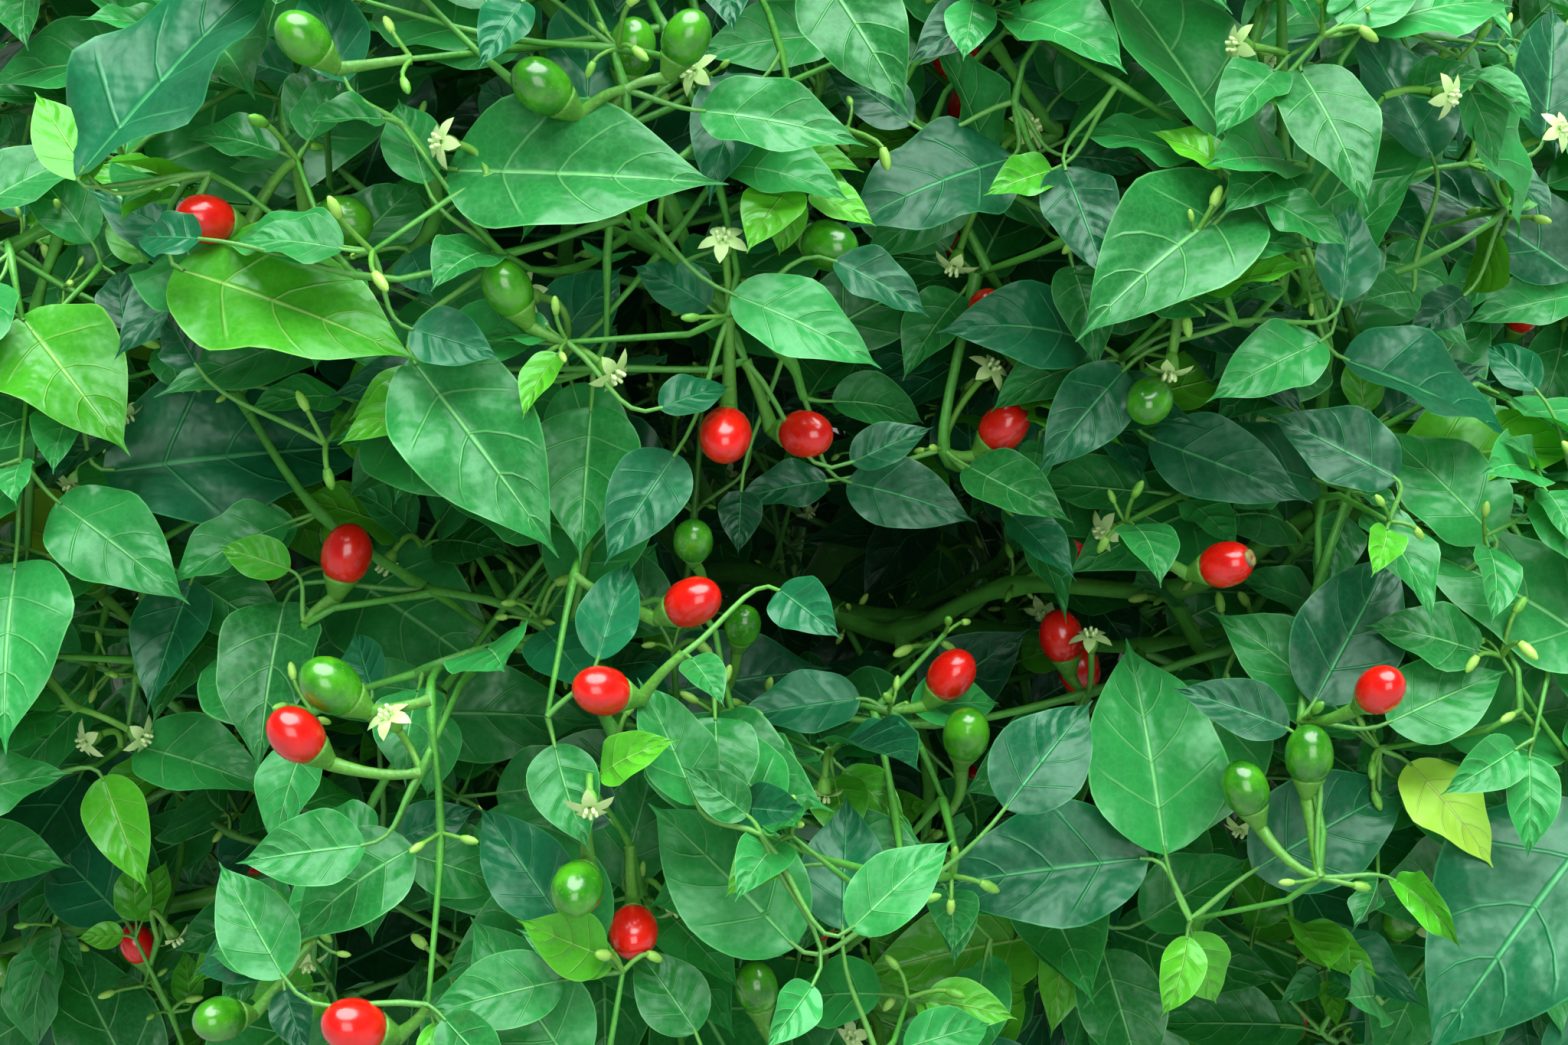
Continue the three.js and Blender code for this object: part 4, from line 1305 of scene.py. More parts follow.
# Leaves from front to back: a tint, then where the base and the tip are, across and down
LEAVES = (
    ("fresh", 192, 219, 585, 87), ("deep", 100, 230, 380, -60), ("young", 228, 350, 556, 476),
    ("young", 120, 235, 45, 120), ("young", 27, 413, 170, 596), ("deep", 134, 616, 522, 582),
    ("fresh", 74, 654, 248, 790), ("fresh", 20, 735, 8, 985), ("fresh", 585, 222, 952, 241),
    ("fresh", 1070, -40, 1187, 150), ("fresh", 1610, 190, 1400, -90), ("fresh", 1622, 260, 1406, 446),
    ("fresh", 1696, 88, 1787, 279), ("fresh", 1654, 260, 1766, 325), ("deep", 2060, 360, 1803, 216),
    ("young", 1598, 218, 1501, 172), ("fresh", 2060, 385, 1910, 422), ("fresh", 536, 467, 729, 728),
    ("fresh", 440, 744, 670, 907), ("fresh", 371, 786, 337, 1014), ("fresh", 120, 940, 132, 786),
    ("deep", 250, 759, 192, 931), ("young", 379, 744, 283, 715), ("fresh", 772, 531, 758, 735),
    ("deep", 560, 305, 912, 319), ("fresh", 914, 145, 1133, 192), ("fresh", 1093, 45, 901, 74),
    ("deep", 1325, 205, 1089, 308), ("young", 1375, 222, 1284, 256), ("fresh", 955, 384, 1151, 482),
    ("deep", 1089, 340, 1214, 415), ("fresh", 1728, 445, 1575, 526), ("deep", 1469, 482, 1355, 621),
    ("deep", 1752, 468, 1977, 579), ("fresh", 1956, 705, 1800, 558), ("deep", 1501, 572, 1715, 658),
    ("deep", 1715, 920, 1824, 714), ("fresh", 2110, 860, 1812, 705), ("fresh", 1812, 945, 1970, 876),
    ("fresh", 1884, 964, 2075, 920), ("yellow", 1840, 996, 1951, 1136), ("deep", 1636, 1138, 1845, 1022),
    ("fresh", 1522, 1117, 1471, 835), ("fresh", 1492, 1205, 1631, 1122), ("fresh", 1790, 1400, 1631, 1205),
    ("fresh", 1440, 1240, 1500, 1440), ("deep", 2100, 1060, 1860, 1390), ("deep", 1684, 952, 1529, 899),
    ("fresh", 1039, 1238, 847, 1050), ("young", 1370, 1220, 1115, 1278), ("fresh", 1111, 1215, 1245, 1097),
    ("deep", 1100, 1215, 1106, 1037), ("fresh", 812, 1160, 859, 985), ("fresh", 910, 1052, 832, 885),
    ("deep", 1124, 912, 950, 939), ("deep", 1312, 1057, 1427, 915), ("deep", 1501, 1120, 1196, 1162),
    ("deep", 963, 1055, 1062, 1064), ("fresh", 1276, 1077, 1272, 1157), ("fresh", 910, 1349, 827, 1233),
    ("fresh", 1062, 1287, 999, 1372), ("deep", 734, 1204, 625, 1052), ("fresh", 736, 1280, 547, 1331),
    ("fresh", 531, 1376, 549, 1249), ("deep", 406, 1282, 634, 1177), ("fresh", 371, 1278, 286, 1126),
    ("fresh", 478, 1104, 308, 1128), ("deep", 513, 1099, 625, 1055), ("fresh", 179, 974, 366, 1037),
    ("young", 134, 1014, 192, 1166), ("fresh", -50, 1110, 94, 1133), ("fresh", -60, 1040, 96, 1010),
    ("deep", 107, 1014, -22, 1215), ("fresh", 190, 1440, 78, 1218), ("fresh", 527, 932, 780, 943),
    ("young", 250, 1314, 241, 1238), ("deep", 371, 1291, 402, 1385), ("deep", 781, 862, 823, 730),
    ("fresh", 798, 871, 881, 866), ("deep", 848, 909, 1086, 873), ("deep", 883, 592, 789, 739),
    ("deep", 861, 534, 955, 505), ("deep", 981, 590, 988, 482), ("deep", 1082, 628, 956, 656),
    ("deep", 1111, 605, 1220, 558), ("deep", 1106, 630, 1276, 683), ("deep", 1272, 636, 1258, 480),
    ("deep", 1321, 672, 1406, 760), ("deep", 968, 641, 964, 726), ("deep", 1017, 770, 1100, 835),
    ("fresh", 556, 241, 520, 129), ("deep", 469, 254, 553, 58), ("deep", 452, 108, 405, -30),
    ("deep", 683, 0, 625, 90), ("deep", 700, 155, 625, 110), ("deep", 263, 312, 174, 312),
    ("deep", 257, 478, 219, 406), ("deep", 536, 430, 654, 469), ("deep", 536, 330, 567, 391),
    ("fresh", 1272, 0, 1258, 80), ("deep", 1191, 163, 1075, 89), ("deep", 928, 402, 825, 348),
    ("deep", 705, 470, 812, 350), ("fresh", 749, 480, 807, 424), ("deep", 767, 134, 767, -22),
    ("deep", 1303, 13, 1187, 85), ("deep", 1872, 207, 1766, 28), ("deep", 1970, 51, 1877, 65),
    ("deep", 2016, 186, 2026, 9), ("deep", 1390, 218, 1445, 371), ("deep", 1394, 204, 1501, 223),
    ("deep", 1538, 432, 1715, 408), ("deep", 1752, 395, 1766, 260), ("deep", 1914, 385, 1835, 450),
    ("fresh", 1845, 381, 1777, 395), ("deep", 2007, 510, 1940, 452), ("deep", 1826, 626, 1654, 540),
    ("deep", 1708, 602, 1780, 644), ("deep", 594, 770, 647, 735), ("deep", 487, 904, 464, 824),
    ("young", 1822, 1150, 1905, 1238), ("fresh", 1800, 1140, 1762, 1222),
)

# Marks on some leaves and a berry, by the pixels of their tips and of its middle
DRY_TIPS = ((522, 582), (1089, 308), (1803, 216), (625, 1052), (955, 656))
DRY_SHARE = 0.06
HOLES = {(1715, 408): (0.5, 0.66, 0.075)}
CRUMPLED = {
    (1905, 1238): dict(fold=0.95, wave=0.13, twist=0.9, droop=1.5, pucker=0.06),
    (1762, 1222): dict(fold=-0.7, wave=0.12, twist=-0.8, droop=1.2, pucker=0.06),
}
SCARRED_BERRY = (1602, 737)

# How far from a pixel's ray a thing's joint may be, how the thing stands, and what has to stay in sight
NEAREST_DEPTH = 330
BERRY_RANGE = (13, 27)
LISTED_RISE = 0.9
LISTED_SIZES = (0.92, 1.1)
BERRY_SIGHTS = np.array([[0, 0, 0], [2.5, 0, 0], [-2.5, 0, 0], [0, 0, 3]])
FLOWER_RANGE = (9, 20)
TO_CAMERA = 0.8
LISTED_NODS = (-0.8, 0.2)
FLOWER_SIGHTS = np.array([[0, 0, 0], [2, 0, 0], [-2, 0, 0]])
LEAF_RANGE = (4, 32)
LISTED_SPANS = (17, 84)
LISTED_GIVE = 14
LISTED_DROOP = 0.7
LISTED_OUTWARD = 0.3
LISTED_TILTS = ((0.55, 0), (1.1, 0), (0.2, 0), (0.7, 0.4), (0.7, -0.4), (1.8, 0), (0.1, 0.5), (0.1, -0.5))
DROOP_ANGLE = 0.42
DROOP_STRETCH = 0.06
STEM_SIGHTS = (0.1, 0.4, 0.7)
joints = [(twig, joint) for twig in twigs for joint in twig["joints"]]
joint_places = np.array([joint["end"] for _, joint in joints])
joint_depths = np.linalg.norm(joint_places - CAMERA_PLACE, axis=1)


def joints_near(pixel, closest, furthest):
    """Joints whose distance from a pixel's ray lies in a range, the front ones first"""
    ray = ray_through(pixel)
    along = (joint_places - CAMERA_PLACE) @ ray
    apart = np.linalg.norm(joint_places - CAMERA_PLACE - along[:, None] * ray, axis=1)
    good = np.nonzero((apart > closest) & (apart < furthest) & (joint_depths > NEAREST_DEPTH))[0]
    order = good[np.argsort(along[good] + apart[good])]
    return [joints[i] + (CAMERA_PLACE + ray * along[i],) for i in order]


def place_listed_berry(pixel, kind):
    """A berry at its pixel, from the first joint that has room for it"""
    keys = ("listed", kind) + pixel
    for twig, joint, centre in joints_near(pixel, *BERRY_RANGE):
        axis = unit(unit(centre - joint["end"]) + UP * LISTED_RISE)
        size = mix(*LISTED_SIZES, draw("berry", *keys))
        if within_reach(twig["mass"], centre) and set_berry(joint, centre, axis, kind, size, keys):
            crowd.keep_in_sight(centre + BERRY_SIGHTS)
            if pixel == SCARRED_BERRY:
                head = centre + axis * (0.5 * BERRY_LENGTH * size)
                heaps["dry"].add(stood(SCAR, head, axis, size), 0)
            return


def place_listed_flower(pixel):
    """A flower at its pixel, from the first joint that has room for it"""
    keys = ("listed",) + pixel
    for twig, joint, centre in joints_near(pixel, *FLOWER_RANGE):
        nod = UP * mix(*LISTED_NODS, draw("nod", *keys))
        axis = unit(unit(centre - joint["end"]) + unit(CAMERA_PLACE - centre) * TO_CAMERA + nod)
        if within_reach(twig["mass"], centre) and set_flower(joint, centre, axis, 1, keys):
            crowd.keep_in_sight(centre + FLOWER_SIGHTS)
            return


def place_listed_leaf(tint, base_pixel, tip_pixel):
    """A leaf from its base's pixel to its tip's, on the first joint and tilt that have room for it"""
    keys = ("listed",) + base_pixel
    bends = leaf_bends(keys)
    bends.update(curve=0, droop=LISTED_DROOP * bends["droop"])
    bends.update(CRUMPLED.get(tip_pixel, {}))
    if tip_pixel in DRY_TIPS:
        bends["dry_tip"] = DRY_SHARE
    if tip_pixel in HOLES:
        bends["hole"] = HOLES[tip_pixel]
    tip_ray = ray_through(tip_pixel)
    angle = DROOP_ANGLE * bends["droop"]
    near = joints_near(base_pixel, *LEAF_RANGE)
    for twig, joint, base, forward in [(*found, forward) for forward in (True, False) for found in near]:
        outward = outward_at(joint)
        leave = unit(base - joint["end"])
        for tilt, lean in LISTED_TILTS:
            flat = unit(UP + outward * LISTED_OUTWARD + unit(CAMERA_PLACE - base) * tilt + VIEW_RIGHT * lean)
            tip = CAMERA_PLACE + tip_ray * (np.dot(base - CAMERA_PLACE, flat) / np.dot(tip_ray, flat))
            span = np.linalg.norm(tip - base)
            way = (tip - base) / span
            if not LISTED_SPANS[0] < span < LISTED_SPANS[1] or (forward and np.dot(leave, way) < 0):
                continue
            face = facing(way, flat)
            length = span * (1 + DROOP_STRETCH * bends["droop"] ** 2)
            leaf = dict(bends, base=base, length=length, leave=leave,
                        way=way * math.cos(angle) + face * math.sin(angle),
                        face=face * math.cos(angle) - way * math.sin(angle))
            if leaf_fits(leaf, twig["mass"], reach_give=LISTED_GIVE):
                set_leaf(leaf, tint, twig["mass"], joint, keys, SHOWN_GRID)
                crowd.keep_in_sight(leaf_points(leaf, SIGHT_GRID).reshape(-1, 3))
                return


for kind, pixels in (("ripe", RIPE_BERRIES), ("green", GREEN_BERRIES)):
    for pixel in pixels:
        place_listed_berry(pixel, kind)
for pixel in FLOWERS:
    place_listed_flower(pixel)
for tint, x, y, tip_x, tip_y in LEAVES:
    place_listed_leaf(tint, (x, y), (tip_x, tip_y))
for stem in stems:
    ends = np.array(stem["line"][1:])
    for share in STEM_SIGHTS:
        crowd.keep_in_sight(mix(ends[:-1], ends[1:], share))


# Berries, flowers, buds and leaves on all other joints

BERRY_SHARE = 0.13
RIPE_SHARE = 0.5
FLOWER_SHARE = 0.07
BUD_SHARE = 0.3
CLUSTER = (2, 3)
BERRY_RISE = (0.6, 0.75, 0.55)
BERRY_SIZES = (0.8, 1.12)
BERRY_OFF = 5
BERRY_UPWARD = 0.5
BERRY_HEAD = 8
FLOWER_RISE = (0.7, 0.6, 0.5)
FLOWER_SPANS = (10, 17)
FLOWER_OUTWARD = 0.7
FLOWER_NODS = (0, 0.9)
FLOWER_SIZES = (0.85, 1.05)


def grow_berry(twig, joint, aside, keys):
    """A berry that stands out and up from its joint"""
    rise = leaning(BERRY_RISE, aside, UP, outward_at(joint))
    size = mix(*BERRY_SIZES, draw("size", *keys))
    centre = joint["end"] + rise * (mix(*STALK_SPAN, draw("stalk", *keys)) + BERRY_OFF)
    kind = "ripe" if draw("ripe", *keys) < RIPE_SHARE else "green"
    axis = unit(rise + UP * BERRY_UPWARD)
    if within_reach(twig["mass"], centre + axis * BERRY_HEAD):
        set_berry(joint, centre, axis, kind, size, keys)


def grow_flower(twig, joint, aside, keys):
    """A flower that hangs or stands off its joint, out and up"""
    outward = outward_at(joint)
    span = mix(*FLOWER_SPANS, draw("stalk", *keys))
    centre = joint["end"] + leaning(FLOWER_RISE, aside, UP, outward) * span
    axis = unit(aside + outward * FLOWER_OUTWARD - UP * mix(*FLOWER_NODS, draw("nod", *keys)))
    if within_reach(twig["mass"], centre):
        set_flower(joint, centre, axis, mix(*FLOWER_SIZES, draw("size", *keys)), keys)


def from_rim_inward(twig):
    """Sorts the twigs that end furthest out first"""
    return -np.dot(twig["line"][-1] - CROWN_HEART, twig["mass"]["outward"])


for twig, joint in joints:
    keys = keys_of(twig, joint)
    chance = draw("bears", *keys)
    aside = spun(joint["across"], joint["way"], 360 * draw("aside", *keys))
    if chance < BERRY_SHARE:
        grow_berry(twig, joint, aside, keys)
    elif chance < BERRY_SHARE + FLOWER_SHARE:
        grow_flower(twig, joint, aside, keys)
    if draw("buds", *keys) < BUD_SHARE:
        set_buds(joint, CLUSTER[0] + int(CLUSTER[1] * draw("cluster", *keys)), keys)
for twig in sorted(twigs, key=from_rim_inward):
    grow_leaves(twig)


# Leaves deep in the crown where the ground would otherwise show between the others

GAP_STEP = 22
GAP_LEAF_SPANS = (74, 60, 46, 34)
GAP_TILTS = ((0.8, 0.6), (0.3, 1.0), (1.2, 0.2))
GAP_MARGIN = 24
GAP_RANGE = (2, 52)
GAP_CENTRE = 0.42
LEAST_PETIOLE = 6


def open_to_ground(pixel):
    """Whether a pixel's ray passes every leaf, berry and flower"""
    ray = ray_through(pixel)
    count = len(crowd.trees)
    seen = crowd.middles[:count] - CAMERA_PLACE
    apart = np.linalg.norm(seen - (seen @ ray)[:, None] * ray, axis=1)
    near = np.nonzero(apart < crowd.sizes[:count])[0]
    return all(crowd.trees[i].ray_cast(CAMERA_PLACE, ray)[0] is None for i in near)


def close_gap(pixel):
    """Grows a leaf over a pixel from one of the deepest joints near its ray"""
    keys = ("gap",) + pixel
    bends = leaf_bends(keys)
    for twig, joint, centre in joints_near(pixel, *GAP_RANGE)[::-1]:
        aside = unit(centre - joint["end"])
        apart = np.linalg.norm(centre - joint["end"])
        for span, (ahead, rise) in [(span, tilt) for span in GAP_LEAF_SPANS for tilt in GAP_TILTS]:
            base = joint["end"] + aside * max(apart - GAP_CENTRE * span, LEAST_PETIOLE)
            face = facing(aside, unit(CAMERA_PLACE - centre) * ahead + UP * rise)
            leaf = dict(bends, base=base, way=aside, face=face, length=span, leave=aside)
            if leaf_fits(leaf, twig["mass"], reach_give=LISTED_GIVE):
                # Gap leaves all take the deep tint so that the hollow reads dark: partly painted shade
                set_leaf(leaf, "deep", twig["mass"], joint, keys, grid_for(joint))
                return


for y in range(-GAP_MARGIN, PHOTO_HEIGHT + GAP_MARGIN, GAP_STEP):
    for x in range(-GAP_MARGIN, PHOTO_WIDTH + GAP_MARGIN, GAP_STEP):
        if open_to_ground((x, y)):
            close_gap((x, y))


# Twigs and limbs

TWIG_SIDES = (9, 6, 5)
TWIG_STEPS = (7, 5, 3)
TWIG_FIT = 0.82
TWIG_RIDGES = 0.08
TWIG_SHADES = (0.25, 0.15)
SHADE_SPREAD = 0.2
STEM_SIDES = 15
STEM_STEPS = 14
STEM_RIDGES = 5
STEM_PAINTED_LIGHT = 0.75
NODE_SWELL = 0.42
NODE_REACH = 4.5
END_TAPER = 12
END_SHARE = 0.6


def twig_tube(twig):
    """A twig that swells at its joints, with low ridges along it"""
    level = twig["level"]
    sides, steps, ridges = TWIG_SIDES[level], TWIG_STEPS[level], TWIG_SIDES[level] // 2
    if "name" in twig:
        sides, steps, ridges = STEM_SIDES, STEM_STEPS, STEM_RIDGES
    points, radii, run = curve_through(twig["line"], twig["radii"], steps)
    nearness = np.abs(run[:, None] - run[::steps]).min(axis=1)
    radii = radii * TWIG_FIT * (1 + NODE_SWELL * np.exp(-(nearness / NODE_REACH) ** 2))
    radii = radii * mix(END_SHARE, 1, smooth(0, END_TAPER, run[-1] - run))
    lobes = 1 + TWIG_RIDGES * np.cos(ridges * np.arange(sides) * 2 * math.pi / sides)
    return tube(points, radii, sides, lobes)


# Twigs grow lighter with each finer level, their own tone; the listed stems are painted lighter still,
# painted light as if lit within the hollow
for twig in twigs:
    tone_and_painted_light = STEM_PAINTED_LIGHT if "name" in twig else TWIG_SHADES[0] + TWIG_SHADES[1] * twig["level"]
    heaps["twigs"].add(twig_tube(twig), spread(tone_and_painted_light, SHADE_SPREAD, "twig", twig["mass"]["name"], twig["path"]))


LIMB_SIDES = 16
LIMB_STEP = 3.2
LEAST_STEPS = 3
RIDGE_COUNT = 5
RIDGE_HEIGHT = 0.05
RIDGE_TURN = 0.012
FORK_SWELL = 0.5
FORK_REACH = 9
KNOT_SWELL = 0.1
KNOT_APART = 34
KNOT_REACH = 4
WOODY_HEIGHT = 40
WOODY_FADE = 60
ROUGHNESS = (0.03, 0.09)


def limb_tube(limb):
    """The trunk or a bough with its relief, and how woody it is at each point"""
    steps = max(LEAST_STEPS, int(np.linalg.norm(limb["line"][1] - limb["line"][0]) / LIMB_STEP))
    points, radii, run = curve_through(limb["line"], limb["radii"], steps)
    capped = limb["parent"] is not None
    swell = np.ones(len(points))
    if capped:
        swell += FORK_SWELL * np.exp(-(run / FORK_REACH) ** 2)
    off_knot = (run + KNOT_APART / 2) % KNOT_APART - KNOT_APART / 2
    knots = 1 + KNOT_SWELL * np.exp(-(off_knot / KNOT_REACH) ** 2)
    angles = np.arange(LIMB_SIDES) * 2 * math.pi / LIMB_SIDES
    ridge = RIDGE_HEIGHT * np.cos(RIDGE_COUNT * angles[None] + RIDGE_TURN * run[:, None])
    rough = np.array([[draw("bark", limb["name"], i // 2, k) for k in range(LIMB_SIDES)]
                      for i in range(len(points))])
    woody = np.exp(-np.maximum(points[:, 2] - WOODY_HEIGHT, 0) / WOODY_FADE)[:, None]
    lobes = 1 + ridge + (rough - 0.5) * (ROUGHNESS[0] + ROUGHNESS[1] * woody)
    shade = np.repeat(np.clip(woody, 0, 1), LIMB_SIDES)
    if capped:
        shade = np.append(shade, shade[-1])
    return tube(points, radii * swell * knots, LIMB_SIDES, lobes, capped), shade


heaps["trunk"].add(*limb_tube(trunk))
for bough in boughs:
    heaps["boughs"].add(*limb_tube(bough))


# Materials. A ramp's numbers are where it starts and ends and what it gives there, and sizes are millimetres.

def linear(colour):
    """A colour given as 0 to 255 on a screen, as the shader takes it"""
    return tuple(((c / 255 + 0.055) / 1.055) ** 2.4 if c > 10 else c / 255 / 12.92 for c in colour) + (1,)


class Maker:
    """Short ways to add nodes to a material"""

    def __init__(self, name):
        self.material = bpy.data.materials.new(name)
        self.material.use_nodes = True
        self.tree = self.material.node_tree
        self.shader = self.tree.nodes["Principled BSDF"]

    def set(self, socket, value):
        """Gives a socket a value, or links it to another"""
        if isinstance(value, bpy.types.NodeSocket):
            self.tree.links.new(value, socket)
        else:
            socket.default_value = value

    def node(self, kind, inputs, **settings):
        """A node with its settings, and values or links on its inputs"""
        node = self.tree.nodes.new("ShaderNode" + kind)
        for name, value in settings.items():
            setattr(node, name, value)
        for name, value in inputs.items():
            self.set(node.inputs[name], value)
        return node

    def math(self, operation, a, b=0.0):
        """One operation on two numbers or links"""
        return self.node("Math", {0: a, 1: b}, operation=operation).outputs[0]

    def times(self, a, b):
        return self.math("MULTIPLY", a, b)

    def plus(self, a, b):
        return self.math("ADD", a, b)

    def minus(self, a, b):
        return self.math("SUBTRACT", a, b)

    def ramp(self, value, low, high, out_low=0.0, out_high=1.0):
        """A smooth step from one number to another as the value goes from low to high"""
        inputs = dict(enumerate((value, low, high, out_low, out_high)))
        return self.node("MapRange", inputs, interpolation_type="SMOOTHSTEP").outputs[0]

    def mix(self, share, a, b):
        """One colour over another in a share"""
        return self.node("Mix", {0: share, 6: a, 7: b}, data_type="RGBA").outputs[2]

    def noise(self, size, detail=3.0, stretch=None):
        """Noise whose features are about this many millimetres wide"""
        inputs = {"Scale": 1 / (size * MM), "Detail": detail, "Vector": self.places(stretch)}
        return self.node("TexNoise", inputs).outputs[0]

    def cells(self, size):
        """How far a point is from the edges of cells about this many millimetres wide"""
        inputs = {"Scale": 1 / (size * MM), "Vector": self.places(None)}
        return self.node("TexVoronoi", inputs, feature="DISTANCE_TO_EDGE").outputs["Distance"]

    def places(self, stretch):
        """Where a point is on the plant, stretched if asked"""
        places = self.node("TexCoord", {}).outputs["Object"]
        if stretch is None:
            return places
        return self.node("Mapping", {"Scale": stretch, "Vector": places}).outputs[0]

    def shade(self):
        """The shade that the heap gave a point"""
        return self.node("Attribute", {}, attribute_name="shade").outputs["Fac"]

    def marks(self):
        """Where a point is across a leaf and along its side veins, each from 0 to 1"""
        marks = self.node("UVMap", {}, uv_map="marks").outputs[0]
        parts = self.node("SeparateXYZ", {0: marks}).outputs
        return parts[0], parts[1]

    def bump(self, height, depth, strength):
        """Relief of a height pattern, this many millimetres deep"""
        inputs = {"Distance": depth * MM, "Strength": strength, "Height": height}
        normal = self.node("Bump", inputs).outputs[0]
        self.set(self.shader.inputs["Normal"], normal)
        return normal

    def finish(self, colour, **numbers):
        """Sets the shader's colour and numbers, and hands the material out"""
        self.set(self.shader.inputs["Base Color"], colour)
        for name, value in numbers.items():
            self.set(self.shader.inputs[name.replace("_", " ")], value)
        return self.material

    def let_through(self, colour, share, normal):
        """Lets some light through a thin leaf"""
        glow = self.node("BsdfTranslucent", {"Color": colour, "Normal": normal}).outputs[0]
        both = self.node("MixShader", {0: share, 1: self.shader.outputs[0], 2: glow})
        self.set(self.tree.nodes["Material Output"].inputs["Surface"], both.outputs[0])


LEAF_SHEEN = (0.72, 1, 0.84, 1)


def leaf_material(name, dark, light, vein, through, roughness):
    """A quilted leaf with its midrib, side veins, fine net and pale rim"""
    make = Maker(name)
    across, along = make.marks()
    out = make.math("ABSOLUTE", make.minus(make.times(across, 2), 1))
    midrib = make.ramp(out, 0.008, 0.05, 1, 0)
    beat = make.math("FRACT", make.plus(make.times(along, VEIN_PAIRS), 0.5))
    from_vein = make.math("ABSOLUTE", make.minus(beat, 0.5))
    side = make.times(make.ramp(from_vein, 0.008, 0.05, 1, 0), make.ramp(out, 0.55, 0.95, 1, 0))
    side = make.times(side, make.ramp(along, 0.02, 0.1))
    quilt = make.times(make.ramp(from_vein, 0.0, 0.36), make.ramp(out, 0.3, 1.0, 0.7, 0.1))
    net = make.ramp(make.cells(1.9), 0.0, 0.14, 1, 0)
    rim = make.ramp(out, 0.955, 0.995)
    patches = make.noise(14)
    body = make.mix(make.shade(), dark, light)
    body = make.mix(make.ramp(patches, 0.35, 0.7, 0, 0.35), body, dark)
    body = make.mix(make.ramp(make.noise(1.6, 2), 0.4, 0.75, 0, 0.22), body, light)
    lines = make.times(midrib, 0.75)
    for line, share in ((side, 0.36), (rim, 0.4), (net, 0.06)):
        lines = make.math("MAXIMUM", lines, make.times(line, share))
    height = make.minus(make.times(quilt, 1.3), make.plus(midrib, make.times(side, 0.8)))
    height = make.plus(make.times(make.noise(4, 1), 1.3), height)
    make.let_through(through, 0.14, make.bump(height, 0.5, 0.7))
    gloss = make.ramp(patches, 0.3, 0.7, roughness - 0.05, roughness + 0.09)
    colour = make.mix(lines, body, vein)
    return make.finish(colour, Roughness=gloss, Specular_IOR_Level=0.5, Specular_Tint=LEAF_SHEEN)


def stem_material(name, dark, light, woody):
    """A mottled green stem, with some share of woody patches"""
    make = Maker(name)
    body = make.mix(make.shade(), dark, light)
    body = make.mix(make.ramp(make.noise(9), 0.35, 0.65, 0, 0.4), body, dark)
    body = make.mix(make.ramp(make.noise(0.9, 2), 0.52, 0.75, 0, 0.45), body, light)
    body = make.mix(make.ramp(make.noise(5.5, 5), 0.62, 0.72, 0, woody), body, linear((96, 84, 52)))
    make.bump(make.noise(1.3, 4), 0.35, 0.6)
    return make.finish(body, Roughness=make.ramp(make.noise(3), 0.3, 0.7, 0.38, 0.55))


def bark_material(name):
    """Fissured bark that turns green up the trunk"""
    make = Maker(name)
    fissures = make.noise(2.2, 5, (1, 1, 0.16))
    grain = make.noise(0.7, 4, (1, 1, 0.3))
    body = make.mix(make.ramp(fissures, 0.35, 0.62), linear((58, 47, 33)), linear((136, 120, 88)))
    body = make.mix(make.ramp(grain, 0.45, 0.75, 0, 0.5), body, linear((172, 160, 126)))
    green = make.mix(make.ramp(grain, 0.4, 0.7), linear((52, 98, 34)), linear((104, 142, 60)))
    body = make.mix(make.ramp(make.shade(), 0.45, 0.8, 0.75, 0), body, green)
    make.bump(make.plus(make.times(fissures, 1.5), make.times(grain, 0.5)), 1.1, 0.9)
    return make.finish(body, Roughness=make.ramp(grain, 0.3, 0.7, 0.7, 0.9))


def berry_material(name, dark, light, speck):
    """A glossy berry with faint specks"""
    make = Maker(name)
    body = make.mix(make.ramp(make.noise(6), 0.3, 0.7), dark, light)
    body = make.mix(make.ramp(make.noise(0.5, 2), 0.6, 0.75, 0, 0.25), body, speck)
    make.bump(make.noise(3.5, 2), 0.25, 0.5)
    gloss = make.ramp(make.noise(2.5), 0.3, 0.7, 0.2, 0.3)
    return make.finish(body, Roughness=gloss, Coat_Weight=0.5, Coat_Roughness=0.16)


def petal_material(name, throat, light, roughness):
    """A soft skin that goes from one colour to another by its shade"""
    make = Maker(name)
    body = make.mix(make.ramp(make.shade(), 0, 1), throat, light)
    body = make.mix(make.ramp(make.noise(1.8), 0.4, 0.7, 0, 0.4), body, light)
    make.bump(make.noise(0.6, 2), 0.12, 0.5)
    return make.finish(body, Roughness=roughness)


